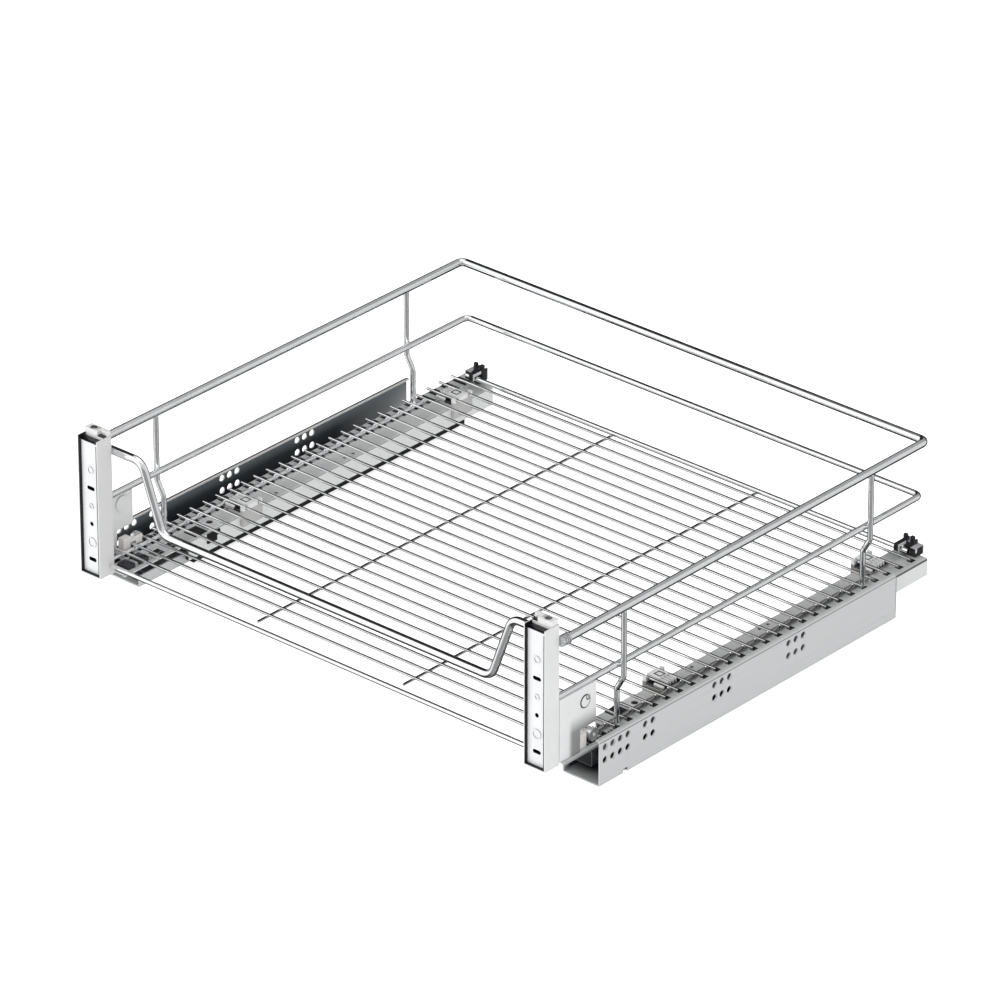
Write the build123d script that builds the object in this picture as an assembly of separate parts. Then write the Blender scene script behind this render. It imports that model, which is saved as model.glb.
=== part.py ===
from build123d import *
import os

# Pull-out wire drawer on concealed full-extension slides, closed, in millimetres.
# X runs across the cabinet, Y from the front to the back, Z up from the slides' undersides.
# Setbacks are measured backwards from the front edges of the two posts.

# Gaps shared by all pieces
WELD_GAP = 0.05
RUNNING_GAP = 0.3
PIVOT_GAP = 0.05

# Cabinet and travel
CABINET_CLEAR_WIDTH = 560.0
DRAWER_TRAVEL = 400.0

# Fixed cabinet profile of each slide
PROFILE_SETBACK = 48.0
PROFILE_LENGTH = 384.0
PROFILE_HEIGHT = 43.0
PROFILE_FLOOR_WIDTH = 40.5
PROFILE_LIP_HEIGHT = 11.0
PROFILE_FLANGE_WIDTH = 4.5
PROFILE_SHEET = 1.5
PROFILE_BEND = 1.4
PROFILE_HOLE_RADIUS = 3.1
PROFILE_HOLE_ROWS = (23.5, 35.5)
PROFILE_HOLE_PITCH = 9.5
PROFILE_HOLE_OFFSETS = (6.5, 57.0, 145.0, 241.0)
PROFILE_HOLE_COUNTS = (4, 2, 3, 3)
PROFILE_NOTCH_OFFSET = 29.5
PROFILE_NOTCH_WIDTH = 6.0
PROFILE_NOTCH_HEIGHT = 5.0

# Drawer rail that carries the basket
RAIL_SHEET = 1.2
RAIL_BEND = 1.2
RAIL_TOP = 29.0
RAIL_STEP_DROP = 2.0
RAIL_STEP_INSET = 16.0
RAIL_WIDTH = 35.0
RAIL_SIDE_GAP = 15.0
RAIL_SETBACK = 20.0
RAIL_LENGTH = 473.0
RAIL_INNER_SKIRT = 20.0
RAIL_OUTER_SKIRT = 16.5
RAIL_RELIEF_SETBACK = 66.0
RAIL_RELIEF_SKIRT = 2.5
RAIL_SKIRT_SETBACK = 100.0
RAIL_WINDOW_SETBACKS = (62.0, 80.0)
RAIL_WINDOW_SIZE = (11.0, 13.0)
RAIL_WINDOW_INSET = 8.5
RAIL_HOLE_SETBACK = 137.0
RAIL_HOLE_RADIUS = 3.0
RAIL_HOLE_INSET = 11.0
RAIL_SLOT_SETBACKS = (216.0, 304.0, 315.0)
RAIL_SLOT_RADIUS = 1.7
RAIL_SLOT_INSET = 6.0
STRIKER_SETBACK = 232.0
STRIKER_SIZE = (8.0, 4.5, 8.0)
STRIKER_BOTTOM = 10.0

# Intermediate rail, roller cages and rollers
MIDDLE_RAIL_SETBACK = 60.0
MIDDLE_RAIL_LENGTH = 360.0
MIDDLE_RAIL_WIDTH = 18.0
ROLLER_DIAMETER = 5.0
ROLLER_LENGTH = 7.0
ROLLER_COUNT = 6
ROLLER_PITCH = 22.0
CAGE_LENGTH = 140.0
CAGE_WIDTH = 10.4
CAGE_SIDE_OFFSET = 11.0
CAGE_THICKNESS = 2.6
CAGE_END_SPARE = 12.0

# Black side guide along the inner skirt
GUIDE_SETBACK = 105.0
GUIDE_LENGTH = 350.0
GUIDE_HEIGHT = 4.2
GUIDE_GRIP_WIDTH = 1.8
GUIDE_GRIP_HEIGHT = 4.0

# Soft-close unit on the profile's wall
DAMPER_LENGTH = 152.0
DAMPER_HEIGHT = 13.0
DAMPER_WIDTH = 10.9
DAMPER_BOTTOM = 5.0
DAMPER_FRONT_GAP = 8.0
DAMPER_BORE_RADIUS = 4.5
DAMPER_END_WALL = 4.0
PLUNGER_ROD_RADIUS = 2.0
PLUNGER_ROD_LENGTH = 58.0
PLUNGER_TIP_RADIUS = 3.4
PLUNGER_TIP_LENGTH = 4.0
PLUNGER_PISTON_LENGTH = 4.0
SPRING_RADIUS = 4.0
SPRING_WIRE = 1.2

# Black catch on the inner skirt
CATCH_THICKNESS = 1.4
CATCH_SETBACK = 122.0
CATCH_LENGTH = 11.5
CATCH_BOTTOM = 16.5
CATCH_HEIGHT = 9.0
CATCH_TONGUE = 4.0

# Basket rods
TOP_ROD_DIAMETER = 7.5
TOP_ROD_PROUD = 0.7
TOP_ROD_HEIGHT = 142.0
TOP_ROD_BACK = 489.0
MID_ROD_DIAMETER = 5.6
MID_ROD_HEIGHT = 88.0
MID_ROD_BACK = 490.0
REAR_BEND = 6.0
FRONT_ROD_LAP = 13.0
FRONT_ROD_SHOULDER = 44.0
FRONT_ROD_SLOPE_RUN = 23.0
FRONT_ROD_LOW_HEIGHT = 80.0
FRONT_ROD_BEND = 12.0
UPRIGHT_DIAMETER = 5.0
UPRIGHT_FRONT_SETBACK = 96.6
UPRIGHT_REAR_SETBACK = 415.7
UPRIGHT_JOG_TOP = 77.0
UPRIGHT_JOG_BOTTOM = 64.0
UPRIGHT_BEND = 7.0
FLOOR_WIRE_DIAMETER = 2.5
FLOOR_WIRE_COUNT = 28
FLOOR_WIRE_PITCH = 16.055
FLOOR_WIRE_SETBACK = 39.6
FLOOR_WIRE_INSET = 0.3
FLOOR_WIRE_END_GAP = 1.3
FLOOR_WIRE_PLATE_GAP = 4.0
FLOOR_BAR_DIAMETER = 4.4
FRONT_BAR_SETBACK = 13.5
REAR_BAR_SETBACK = 482.5
REAR_BAR_INSET = 13.0
SUPPORT_WIRE_HALF_SPACING = 82.3
SUPPORT_WIRE_LEAD = 12.5
BASE_WIRE_DIAMETER = 4.0
BASE_WIRE_INSET = 13.6
BASE_WIRE_END = 428.0

# Front posts
POST_SIDE_GAP = 17.7
POST_WIDTH = 23.3
POST_DEPTH = 18.0
POST_BOTTOM = 27.0
POST_HEAD = 16.0
POST_SHEET = 1.2
POST_EDGE_RADIUS = 1.0
PLATE_RECESS = 3.4
PLATE_THICKNESS = 2.0
PLATE_TOP_DROP = 5.0
SEAL_THICKNESS = 0.4
SEAL_FRONT_GAP = 0.3
PANEL_SLOT_HEIGHTS = (41.5, 109.5)
PANEL_SLOT_LENGTH = 8.6
PANEL_SLOT_RADIUS = 1.8
PANEL_HOLE_HEIGHT = 75.5
PANEL_HOLE_RADIUS = 2.0
EMBOSS_RINGS = ((58.0, 4.6), (92.5, 2.6), (127.0, 3.4))
EMBOSS_RING_WIDTH = 0.9
EMBOSS_HEIGHT = 0.5
BLOCK_DEPTH_START = 9.0
BLOCK_DEPTH = 7.6
BLOCK_HEIGHT = 20.0
BLOCK_CAP_HEIGHT = 5.0
BLOCK_CAP_OVERHANG = 0.6
BLOCK_SIDE_GAP = 0.1
BLOCK_RECESS = 4.0
FERRULE_RADIUS = 4.8
FERRULE_LENGTH = 8.9
FERRULE_GROOVES = 3
FERRULE_GROOVE_WIDTH = 1.0
FERRULE_GROOVE_DEPTH = 0.6

# Side plate, cam and height wheel
PLATE_SHEET = 1.5
SIDE_PLATE_END = 63.5
SIDE_PLATE_HEIGHT = 58.0
SIDE_FLANGE_WIDTH = 17.0
SIDE_FLANGE_HEIGHT = 56.0
SIDE_FOOT_WIDTH = 7.8
CUTOUT_SETBACK = 43.5
CUTOUT_TOP = 49.5
CUTOUT_RADIUS = 2.0
CAM_SETBACK = 49.8
CAM_HEIGHT = 73.6
CAM_RADIUS = 6.2
CAM_PROUD = 0.5
CAM_FLANGE_RADIUS = 7.4
CAM_FLANGE_THICKNESS = 1.2
CAM_SLOT = (8.0, 1.8, 1.0)
HOLDER_WIDTH = 6.2
HOLDER_SETBACK = 44.5
HOLDER_LEG_LENGTH = 9.0
HOLDER_ARM_LENGTH = 23.5
HOLDER_ARM_HEIGHT = 3.2
HOLDER_TOP = 42.3
HOLDER_EAR_WIDTH = 1.8
HOLDER_EAR_LENGTH = 7.4
HOLDER_PLATE_GAP = 0.3
WHEEL_SETBACK = 63.7
WHEEL_HEIGHT = 35.8
WHEEL_RADIUS = 6.0
WHEEL_THICKNESS = 3.6
WHEEL_PIN_RADIUS = 1.5
WHEEL_NOTCHES = 12
WHEEL_NOTCH_RADIUS = 0.6
SCREW_SETBACKS = (25.0, 35.0)
SCREW_RADIUS = 1.6
SCREW_HOLE_GAP = 0.15
SCREW_HEAD_RADIUS = 2.9
SCREW_HEAD_HEIGHT = 2.2
SCREW_LENGTH = 5.0
SCREW_SLOT = (4.4, 0.9, 0.9)

# Clips and hooks that hold the basket on the drawer rails
CLIP_OVERHANG = 4.0
CLIP_WIDTH = 22.5
CLIP_LENGTH = 24.0
CLIP_WIRE_COUNTS = (8, 25)
CLIP_TOP = 36.6
CLIP_LEG_BOTTOM = 17.0
CLIP_WINDOW = (9.0, 6.0, 2.5)
WIRE_SLOT_GAP = 0.3
HOOK_OUTER_GAP = 8.0
HOOK_WIDTH = 17.0
HOOK_START = 486.0
HOOK_LENGTH = 12.0
HOOK_BASE_HEIGHT = 3.0
HOOK_TOP = 45.0
HOOK_WEB_WIDTH = 11.0
HOOK_WEB_THICKNESS = 3.2
HOOK_WEB_NOTCH = (4.0, 6.0)
HOOK_RIB_WIDTH = 2.4
HOOK_RIB_TOP = 40.0
HOOK_BLOCK_HEIGHT = 8.0
HOOK_FINGER_WIDTH = 5.0
HOOK_FINGER_HEIGHT = 3.2
HOOK_TIP_LENGTH = 2.6
HOOK_TIP_DROP = 3.6

# Positions that follow from the sizes above
SIDE = CABINET_CLEAR_WIDTH / 2
RAIL_OUTER = SIDE - RAIL_SIDE_GAP
RAIL_INNER = RAIL_OUTER - RAIL_WIDTH
RAIL_END = RAIL_SETBACK + RAIL_LENGTH
PROFILE_INNER = SIDE - PROFILE_FLOOR_WIDTH
POST_OUTER = SIDE - POST_SIDE_GAP
POST_INNER = POST_OUTER - POST_WIDTH
POST_MIDDLE = (POST_INNER + POST_OUTER) / 2
POST_TOP = TOP_ROD_HEIGHT + POST_HEAD
PLATE_TOP = POST_TOP - PLATE_TOP_DROP
TOP_ROD_HALF_WIDTH = POST_OUTER + TOP_ROD_PROUD
FRONT_ROD_HALF_WIDTH = POST_INNER + FRONT_ROD_LAP
FRONT_ROD_DIP_TOP = FRONT_ROD_HALF_WIDTH - FRONT_ROD_SHOULDER
FRONT_ROD_DIP_BOTTOM = FRONT_ROD_DIP_TOP - FRONT_ROD_SLOPE_RUN
FLOOR_WIRE_HALF = POST_OUTER - FLOOR_WIRE_INSET
REAR_BAR_HALF_WIDTH = RAIL_OUTER - REAR_BAR_INSET
BASE_WIRE_HALF_SPACING = RAIL_OUTER - BASE_WIRE_INSET
RAIL_PLATE_TOP = RAIL_TOP - RAIL_STEP_DROP
RAIL_STEP_X = RAIL_INNER + RAIL_STEP_INSET
HOOK_END = HOOK_START + HOOK_LENGTH
FRONT_Y = -HOOK_END / 2
SHEET_INNER_FACE = POST_OUTER - PLATE_SHEET
MID_ROD_HALF_WIDTH = SHEET_INNER_FACE - WELD_GAP - MID_ROD_DIAMETER / 2
UPRIGHT_X = MID_ROD_HALF_WIDTH + MID_ROD_DIAMETER / 2 + WELD_GAP + UPRIGHT_DIAMETER / 2
UPRIGHT_LOW_X = BASE_WIRE_HALF_SPACING + BASE_WIRE_DIAMETER / 2 + WELD_GAP + UPRIGHT_DIAMETER / 2
BASE_WIRE_Z = RAIL_TOP + WELD_GAP + BASE_WIRE_DIAMETER / 2
FLOOR_SEAT_Z = BASE_WIRE_Z + BASE_WIRE_DIAMETER / 2 + WELD_GAP
FLOOR_WIRE_Z = FLOOR_SEAT_Z + FLOOR_WIRE_DIAMETER / 2
FLOOR_BAR_Z = FLOOR_SEAT_Z + FLOOR_BAR_DIAMETER / 2
SUPPORT_WIRE_Z = FLOOR_SEAT_Z - WELD_GAP - FLOOR_WIRE_DIAMETER / 2
FLOOR_WIRE_SHORT_HALF = SHEET_INNER_FACE - FLOOR_WIRE_END_GAP
FLANGE_FRONT = POST_DEPTH + WELD_GAP
FLANGE_BACK = FLANGE_FRONT + PLATE_SHEET
FRONT_ROD_SETBACK = POST_DEPTH + WELD_GAP + TOP_ROD_DIAMETER / 2
FERRULE_END = FLANGE_FRONT + FERRULE_LENGTH
FOOT_BOTTOM = RAIL_TOP + WELD_GAP
FOOT_TOP = FOOT_BOTTOM + PLATE_SHEET
SIDE_PLATE_TOP = FOOT_BOTTOM + SIDE_PLATE_HEIGHT
SIDE_FLANGE_TOP = FOOT_BOTTOM + SIDE_FLANGE_HEIGHT
SCREW_X = SHEET_INNER_FACE - SIDE_FOOT_WIDTH / 2 + PLATE_SHEET / 2
MIDDLE_RAIL_BOTTOM = PROFILE_SHEET + ROLLER_DIAMETER + 2 * RUNNING_GAP
MIDDLE_RAIL_TOP = RAIL_TOP - RAIL_SHEET - ROLLER_DIAMETER - 2 * RUNNING_GAP
MIDDLE_RAIL_X = (PROFILE_INNER + PROFILE_SHEET + RAIL_OUTER - RAIL_SHEET) / 2
ROLLER_X = RAIL_OUTER - CAGE_SIDE_OFFSET
LOWER_ROLLER_Z = PROFILE_SHEET + RUNNING_GAP + ROLLER_DIAMETER / 2
UPPER_ROLLER_Z = MIDDLE_RAIL_TOP + RUNNING_GAP + ROLLER_DIAMETER / 2
LOWER_CAGE_SETBACK = PROFILE_SETBACK + DRAWER_TRAVEL / 4 + CAGE_END_SPARE
UPPER_CAGE_SETBACK = RAIL_END - DRAWER_TRAVEL / 4 - CAGE_LENGTH - CAGE_END_SPARE
SKIRT_BOTTOM = RAIL_TOP - RAIL_INNER_SKIRT
WALL_FACE = SIDE - PROFILE_SHEET - WELD_GAP
DAMPER_X = WALL_FACE - DAMPER_WIDTH / 2
DAMPER_Z = DAMPER_BOTTOM + DAMPER_HEIGHT / 2
PLUNGER_START = STRIKER_SETBACK + STRIKER_SIZE[1] + RUNNING_GAP
DAMPER_START = PLUNGER_START + DAMPER_FRONT_GAP


def back(setback):
    """Y of a point that lies the given distance behind the front plane."""
    return FRONT_Y + setback


def block(x_span, setback_span, z_span):
    """Box between two X, two setbacks and two heights."""
    size = [high - low for low, high in (x_span, setback_span, z_span)]
    middle = [(low + high) / 2 for low, high in (x_span, setback_span, z_span)]
    return Pos(middle[0], back(middle[1]), middle[2]) * Box(*size)


def rod(points, diameter, bend=None):
    """Round rod along a bent line of (x, setback, z) points."""
    line = [(x, back(setback), z) for x, setback, z in points]
    path = FilletPolyline(*line, radius=bend) if bend else Polyline(*line)
    section = Plane(origin=path @ 0, z_dir=path % 0) * Circle(diameter / 2)
    return sweep(section, path=path)


def bar_x(low, high, setback, z, radius):
    """Round bar along X."""
    spot = Pos((low + high) / 2, back(setback), z)
    return spot * Rot(0, 90, 0) * Cylinder(radius, high - low)


def bar_y(x, start, length, z, radius):
    """Round bar along Y that starts at a setback."""
    spot = Pos(x, back(start + length / 2), z)
    return spot * Rot(90, 0, 0) * Cylinder(radius, length)


def bar_z(x, setback, low, high, radius):
    """Round bar along Z."""
    return Pos(x, back(setback), (low + high) / 2) * Cylinder(radius, high - low)


def folded(points, sheet, bend, start, length):
    """Folded sheet: a centre line of (x, z) points drawn out along Y."""
    line = FilletPolyline(*points, radius=bend)
    section = trace(line, line_width=sheet)
    plane = Plane.XZ.offset(-back(start))
    return extrude(plane * section, amount=-length)


def mirrored(shape):
    """The same shape on the other side of the drawer."""
    return mirror(shape, about=Plane.YZ)


def both_sides(shapes):
    """Group of the given solids and their mirror images."""
    return Compound(children=list(shapes) + [mirrored(shape) for shape in shapes])


def wire_setback(index):
    """Setback of one floor wire, counted from the front."""
    return FLOOR_WIRE_SETBACK + FLOOR_WIRE_PITCH * index


def u_rod(half_width, start, rear, z, diameter):
    """Rod bent round the left, back and right of the basket."""
    points = (
        (half_width, start, z),
        (half_width, rear, z),
        (-half_width, rear, z),
        (-half_width, start, z),
    )
    return rod(points, diameter, REAR_BEND)


def front_rail():
    """Rod behind the posts that dips between them."""
    right = (
        (FRONT_ROD_HALF_WIDTH, FRONT_ROD_SETBACK, TOP_ROD_HEIGHT),
        (FRONT_ROD_DIP_TOP, FRONT_ROD_SETBACK, TOP_ROD_HEIGHT),
        (FRONT_ROD_DIP_BOTTOM, FRONT_ROD_SETBACK, FRONT_ROD_LOW_HEIGHT),
    )
    left = [(-x, setback, z) for x, setback, z in reversed(right)]
    return rod(list(right) + left, TOP_ROD_DIAMETER, FRONT_ROD_BEND)


def upright(setback):
    """Joggled upright from the top rail down to the base wire."""
    points = (
        (UPRIGHT_X, setback, TOP_ROD_HEIGHT - TOP_ROD_DIAMETER / 2 - WELD_GAP),
        (UPRIGHT_X, setback, UPRIGHT_JOG_TOP),
        (UPRIGHT_LOW_X, setback, UPRIGHT_JOG_BOTTOM),
        (UPRIGHT_LOW_X, setback, FOOT_BOTTOM),
    )
    return rod(points, UPRIGHT_DIAMETER, UPRIGHT_BEND)


def floor_wires():
    """All cross wires of the floor; those beside the side plates are shorter."""
    radius = FLOOR_WIRE_DIAMETER / 2
    wires = []
    for index in range(FLOOR_WIRE_COUNT):
        setback = wire_setback(index)
        beside_plate = setback < SIDE_PLATE_END + FLOOR_WIRE_PLATE_GAP
        half = FLOOR_WIRE_SHORT_HALF if beside_plate else FLOOR_WIRE_HALF
        wires.append(bar_x(-half, half, setback, FLOOR_WIRE_Z, radius))
    return Compound(children=wires)


def support_wires():
    """Two lengthwise wires from just before the first floor wire to the rear bar."""
    start = FLOOR_WIRE_SETBACK - SUPPORT_WIRE_LEAD
    length = REAR_BAR_SETBACK + FLOOR_BAR_DIAMETER / 2 - start
    wire = bar_y(SUPPORT_WIRE_HALF_SPACING, start, length, SUPPORT_WIRE_Z, FLOOR_WIRE_DIAMETER / 2)
    return both_sides([wire])


def post_cover():
    """Folded post with a back, two sides and a bottom, open at the front."""
    outer = block((POST_INNER, POST_OUTER), (0, POST_DEPTH), (POST_BOTTOM, POST_TOP))
    outer = fillet(outer.edges().filter_by(Axis.Z).group_by(Axis.Y)[-1], POST_EDGE_RADIUS)
    hollow = block(
        (POST_INNER + POST_SHEET, POST_OUTER - POST_SHEET),
        (-POST_SHEET, POST_DEPTH - POST_SHEET),
        (POST_BOTTOM + POST_SHEET, POST_TOP + POST_SHEET),
    )
    return outer - hollow


def edge_seal():
    """Black strip that lines the post's sides and bottom around the plate."""
    inner, outer = POST_INNER + POST_SHEET, POST_OUTER - POST_SHEET
    bottom = POST_BOTTOM + POST_SHEET
    depth = (SEAL_FRONT_GAP, PLATE_RECESS + PLATE_THICKNESS)
    strip = block((inner, outer), depth, (bottom, PLATE_TOP))
    strip -= block(
        (inner + SEAL_THICKNESS, outer - SEAL_THICKNESS),
        (0, POST_DEPTH),
        (bottom + SEAL_THICKNESS, POST_TOP),
    )
    return strip


def front_plate():
    """Inset plate with the screw slots, the round hole and the embossed rings."""
    inset = POST_SHEET + SEAL_THICKNESS
    face, rear = PLATE_RECESS, PLATE_RECESS + PLATE_THICKNESS
    plate = block((POST_INNER + inset, POST_OUTER - inset), (face, rear), (POST_BOTTOM + inset, PLATE_TOP))
    for height, radius in EMBOSS_RINGS:
        ring = bar_y(POST_MIDDLE, face - EMBOSS_HEIGHT, PLATE_THICKNESS, height, radius)
        ring -= bar_y(POST_MIDDLE, 0, POST_DEPTH, height, radius - EMBOSS_RING_WIDTH)
        plate += ring
    straight = PANEL_SLOT_LENGTH / 2 - PANEL_SLOT_RADIUS
    for height in PANEL_SLOT_HEIGHTS:
        plate -= block(
            (POST_MIDDLE - straight, POST_MIDDLE + straight),
            (0, POST_DEPTH),
            (height - PANEL_SLOT_RADIUS, height + PANEL_SLOT_RADIUS),
        )
        for end in (-straight, straight):
            plate -= bar_y(POST_MIDDLE + end, 0, POST_DEPTH, height, PANEL_SLOT_RADIUS)
    plate -= bar_y(POST_MIDDLE, 0, POST_DEPTH, PANEL_HOLE_HEIGHT, PANEL_HOLE_RADIUS)
    return plate


def top_block():
    """Adjuster block in the post's top, with a pocket for its screw."""
    inner = POST_INNER + POST_SHEET + BLOCK_SIDE_GAP
    outer = POST_OUTER - POST_SHEET - BLOCK_SIDE_GAP
    rear = BLOCK_DEPTH_START + BLOCK_DEPTH
    cap_bottom = POST_TOP + WELD_GAP
    cap_top = cap_bottom + BLOCK_CAP_HEIGHT
    body = block((inner, outer), (BLOCK_DEPTH_START, rear), (POST_TOP - BLOCK_HEIGHT, cap_top))
    body += block(
        (inner - BLOCK_CAP_OVERHANG, outer + BLOCK_CAP_OVERHANG),
        (BLOCK_DEPTH_START - BLOCK_CAP_OVERHANG, rear + BLOCK_CAP_OVERHANG),
        (cap_bottom, cap_top),
    )
    body -= block(
        (inner - BLOCK_CAP_OVERHANG, POST_MIDDLE - BLOCK_RECESS),
        (0, BLOCK_DEPTH_START + BLOCK_RECESS),
        (cap_bottom, cap_top),
    )
    middle = BLOCK_DEPTH_START + BLOCK_DEPTH / 2
    pocket_radius = SCREW_HEAD_RADIUS + RUNNING_GAP
    body -= bar_z(POST_MIDDLE + BLOCK_RECESS, middle, cap_top - SCREW_HEAD_HEIGHT, cap_top, pocket_radius)
    hole_radius = SCREW_RADIUS + SCREW_HOLE_GAP
    hole_bottom = cap_top - SCREW_HEAD_HEIGHT - SCREW_LENGTH - WELD_GAP
    body -= bar_z(POST_MIDDLE + BLOCK_RECESS, middle, hole_bottom, cap_top, hole_radius)
    return body


def rail_connector():
    """Grooved ferrule between the post and the top rail's end."""
    ferrule = bar_y(TOP_ROD_HALF_WIDTH, FLANGE_FRONT, FERRULE_LENGTH, TOP_ROD_HEIGHT, FERRULE_RADIUS)
    pitch = FERRULE_LENGTH / (FERRULE_GROOVES + 1)
    for index in range(FERRULE_GROOVES):
        start = FLANGE_FRONT + pitch * (index + 1) - FERRULE_GROOVE_WIDTH / 2
        groove = bar_y(TOP_ROD_HALF_WIDTH, start, FERRULE_GROOVE_WIDTH, TOP_ROD_HEIGHT, FERRULE_RADIUS)
        core_radius = FERRULE_RADIUS - FERRULE_GROOVE_DEPTH
        core = bar_y(TOP_ROD_HALF_WIDTH, start, FERRULE_GROOVE_WIDTH, TOP_ROD_HEIGHT, core_radius)
        ferrule -= groove - core
    return ferrule


def side_plate():
    """Gusset sheet with a flange behind the post and a foot on the drawer rail."""
    sheet = block(
        (SHEET_INNER_FACE, POST_OUTER),
        (FLANGE_FRONT, SIDE_PLATE_END),
        (FOOT_BOTTOM, SIDE_PLATE_TOP),
    )
    sheet -= block((POST_INNER, SIDE), (CUTOUT_SETBACK, SIDE_PLATE_END), (FOOT_BOTTOM, CUTOUT_TOP))
    corner = sheet.edges().filter_by(Axis.X).filter_by_position(Axis.Z, CUTOUT_TOP, CUTOUT_TOP)
    sheet = fillet(corner, CUTOUT_RADIUS)
    sheet += block(
        (POST_OUTER - SIDE_FLANGE_WIDTH, POST_OUTER),
        (FLANGE_FRONT, FLANGE_BACK),
        (FOOT_BOTTOM, SIDE_FLANGE_TOP),
    )
    sheet += block(
        (POST_OUTER - SIDE_FOOT_WIDTH, POST_OUTER),
        (FLANGE_FRONT, CUTOUT_SETBACK),
        (FOOT_BOTTOM, FOOT_TOP),
    )
    sheet -= bar_x(POST_INNER, SIDE, CAM_SETBACK, CAM_HEIGHT, CAM_RADIUS + PIVOT_GAP)
    for setback in SCREW_SETBACKS:
        sheet -= bar_z(SCREW_X, setback, FOOT_BOTTOM, FOOT_TOP, SCREW_RADIUS + SCREW_HOLE_GAP)
    return sheet


def tilt_cam():
    """Round cam that turns in the side plate, with a screwdriver slot."""
    face = POST_OUTER + CAM_PROUD
    behind = SHEET_INNER_FACE - PIVOT_GAP
    cam = bar_x(behind, face, CAM_SETBACK, CAM_HEIGHT, CAM_RADIUS)
    cam += bar_x(behind - CAM_FLANGE_THICKNESS, behind, CAM_SETBACK, CAM_HEIGHT, CAM_FLANGE_RADIUS)
    length, width, depth = CAM_SLOT
    cam -= block(
        (face - depth, face),
        (CAM_SETBACK - width / 2, CAM_SETBACK + width / 2),
        (CAM_HEIGHT - length / 2, CAM_HEIGHT + length / 2),
    )
    return cam


def wheel_holder():
    """White holder with a leg on the drawer rail, a thin arm and an ear with the wheel's pin."""
    outer = SHEET_INNER_FACE - HOLDER_PLATE_GAP
    inner = outer - HOLDER_WIDTH
    leg_end = HOLDER_SETBACK + HOLDER_LEG_LENGTH
    arm_end = HOLDER_SETBACK + HOLDER_ARM_LENGTH
    arm_top = WHEEL_HEIGHT + HOLDER_EAR_LENGTH / 2
    arm_bottom = arm_top - HOLDER_ARM_HEIGHT
    holder = block((inner, outer), (HOLDER_SETBACK, leg_end), (FOOT_BOTTOM, HOLDER_TOP))
    ear = (inner, inner + HOLDER_EAR_WIDTH)
    holder += block(ear, (HOLDER_SETBACK, arm_end), (arm_bottom, arm_top))
    ear_span = (WHEEL_SETBACK - HOLDER_EAR_LENGTH / 2, WHEEL_SETBACK + HOLDER_EAR_LENGTH / 2)
    ear_bottom = WHEEL_HEIGHT - HOLDER_EAR_LENGTH / 2
    holder += block(ear, ear_span, (ear_bottom, arm_top))
    holder += bar_x(inner, outer, WHEEL_SETBACK, WHEEL_HEIGHT, WHEEL_PIN_RADIUS)
    return holder


def height_wheel():
    """Notched wheel that turns on the holder's pin."""
    start = SHEET_INNER_FACE - HOLDER_PLATE_GAP - HOLDER_WIDTH + HOLDER_EAR_WIDTH + RUNNING_GAP
    end = start + WHEEL_THICKNESS
    wheel = bar_x(start, end, WHEEL_SETBACK, WHEEL_HEIGHT, WHEEL_RADIUS)
    wheel -= bar_x(start, end, WHEEL_SETBACK, WHEEL_HEIGHT, WHEEL_PIN_RADIUS + PIVOT_GAP)
    spot = Pos((start + end) / 2, back(WHEEL_SETBACK), WHEEL_HEIGHT)
    for index in range(WHEEL_NOTCHES):
        turn = Rot(360 / WHEEL_NOTCHES * index, 0, 0)
        notch = Rot(0, 90, 0) * Cylinder(WHEEL_NOTCH_RADIUS, WHEEL_THICKNESS)
        wheel -= spot * turn * Pos(0, 0, WHEEL_RADIUS) * notch
    return wheel


def screw(x, setback, seat):
    """Slotted pan-head screw whose head sits on the given height."""
    body = bar_z(x, setback, seat, seat + SCREW_HEAD_HEIGHT, SCREW_HEAD_RADIUS)
    body += bar_z(x, setback, seat - SCREW_LENGTH, seat, SCREW_RADIUS)
    length, width, depth = SCREW_SLOT
    top = seat + SCREW_HEAD_HEIGHT
    body -= block(
        (x - length / 2, x + length / 2),
        (setback - width / 2, setback + width / 2),
        (top - depth, top),
    )
    return body


def bracket_screws():
    """Foot screws and adjuster screws of both posts."""
    screws = [screw(SCREW_X, setback, FOOT_TOP + WELD_GAP) for setback in SCREW_SETBACKS]
    seat = POST_TOP + 2 * WELD_GAP + BLOCK_CAP_HEIGHT - SCREW_HEAD_HEIGHT
    screws.append(screw(POST_MIDDLE + BLOCK_RECESS, BLOCK_DEPTH_START + BLOCK_DEPTH / 2, seat))
    return both_sides(screws)


def cabinet_profile():
    """Fixed channel with a tall wall, a floor, a lip and two rows of screw holes."""
    half = PROFILE_SHEET / 2
    points = (
        (PROFILE_INNER + half, PROFILE_LIP_HEIGHT),
        (PROFILE_INNER + half, half),
        (SIDE - half, half),
        (SIDE - half, PROFILE_HEIGHT - half),
        (SIDE - PROFILE_FLANGE_WIDTH, PROFILE_HEIGHT - half),
    )
    profile = folded(points, PROFILE_SHEET, PROFILE_BEND, PROFILE_SETBACK, PROFILE_LENGTH)
    for offset_along, count in zip(PROFILE_HOLE_OFFSETS, PROFILE_HOLE_COUNTS):
        for index in range(count):
            setback = PROFILE_SETBACK + offset_along + PROFILE_HOLE_PITCH * index
            for height in PROFILE_HOLE_ROWS:
                profile -= bar_x(WALL_FACE - half, SIDE + half, setback, height, PROFILE_HOLE_RADIUS)
    notch_start = PROFILE_SETBACK + PROFILE_NOTCH_OFFSET
    profile -= block(
        (SIDE - PROFILE_FLANGE_WIDTH, SIDE + PROFILE_SHEET),
        (notch_start, notch_start + PROFILE_NOTCH_WIDTH),
        (-PROFILE_SHEET, PROFILE_NOTCH_HEIGHT),
    )
    return profile


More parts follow.
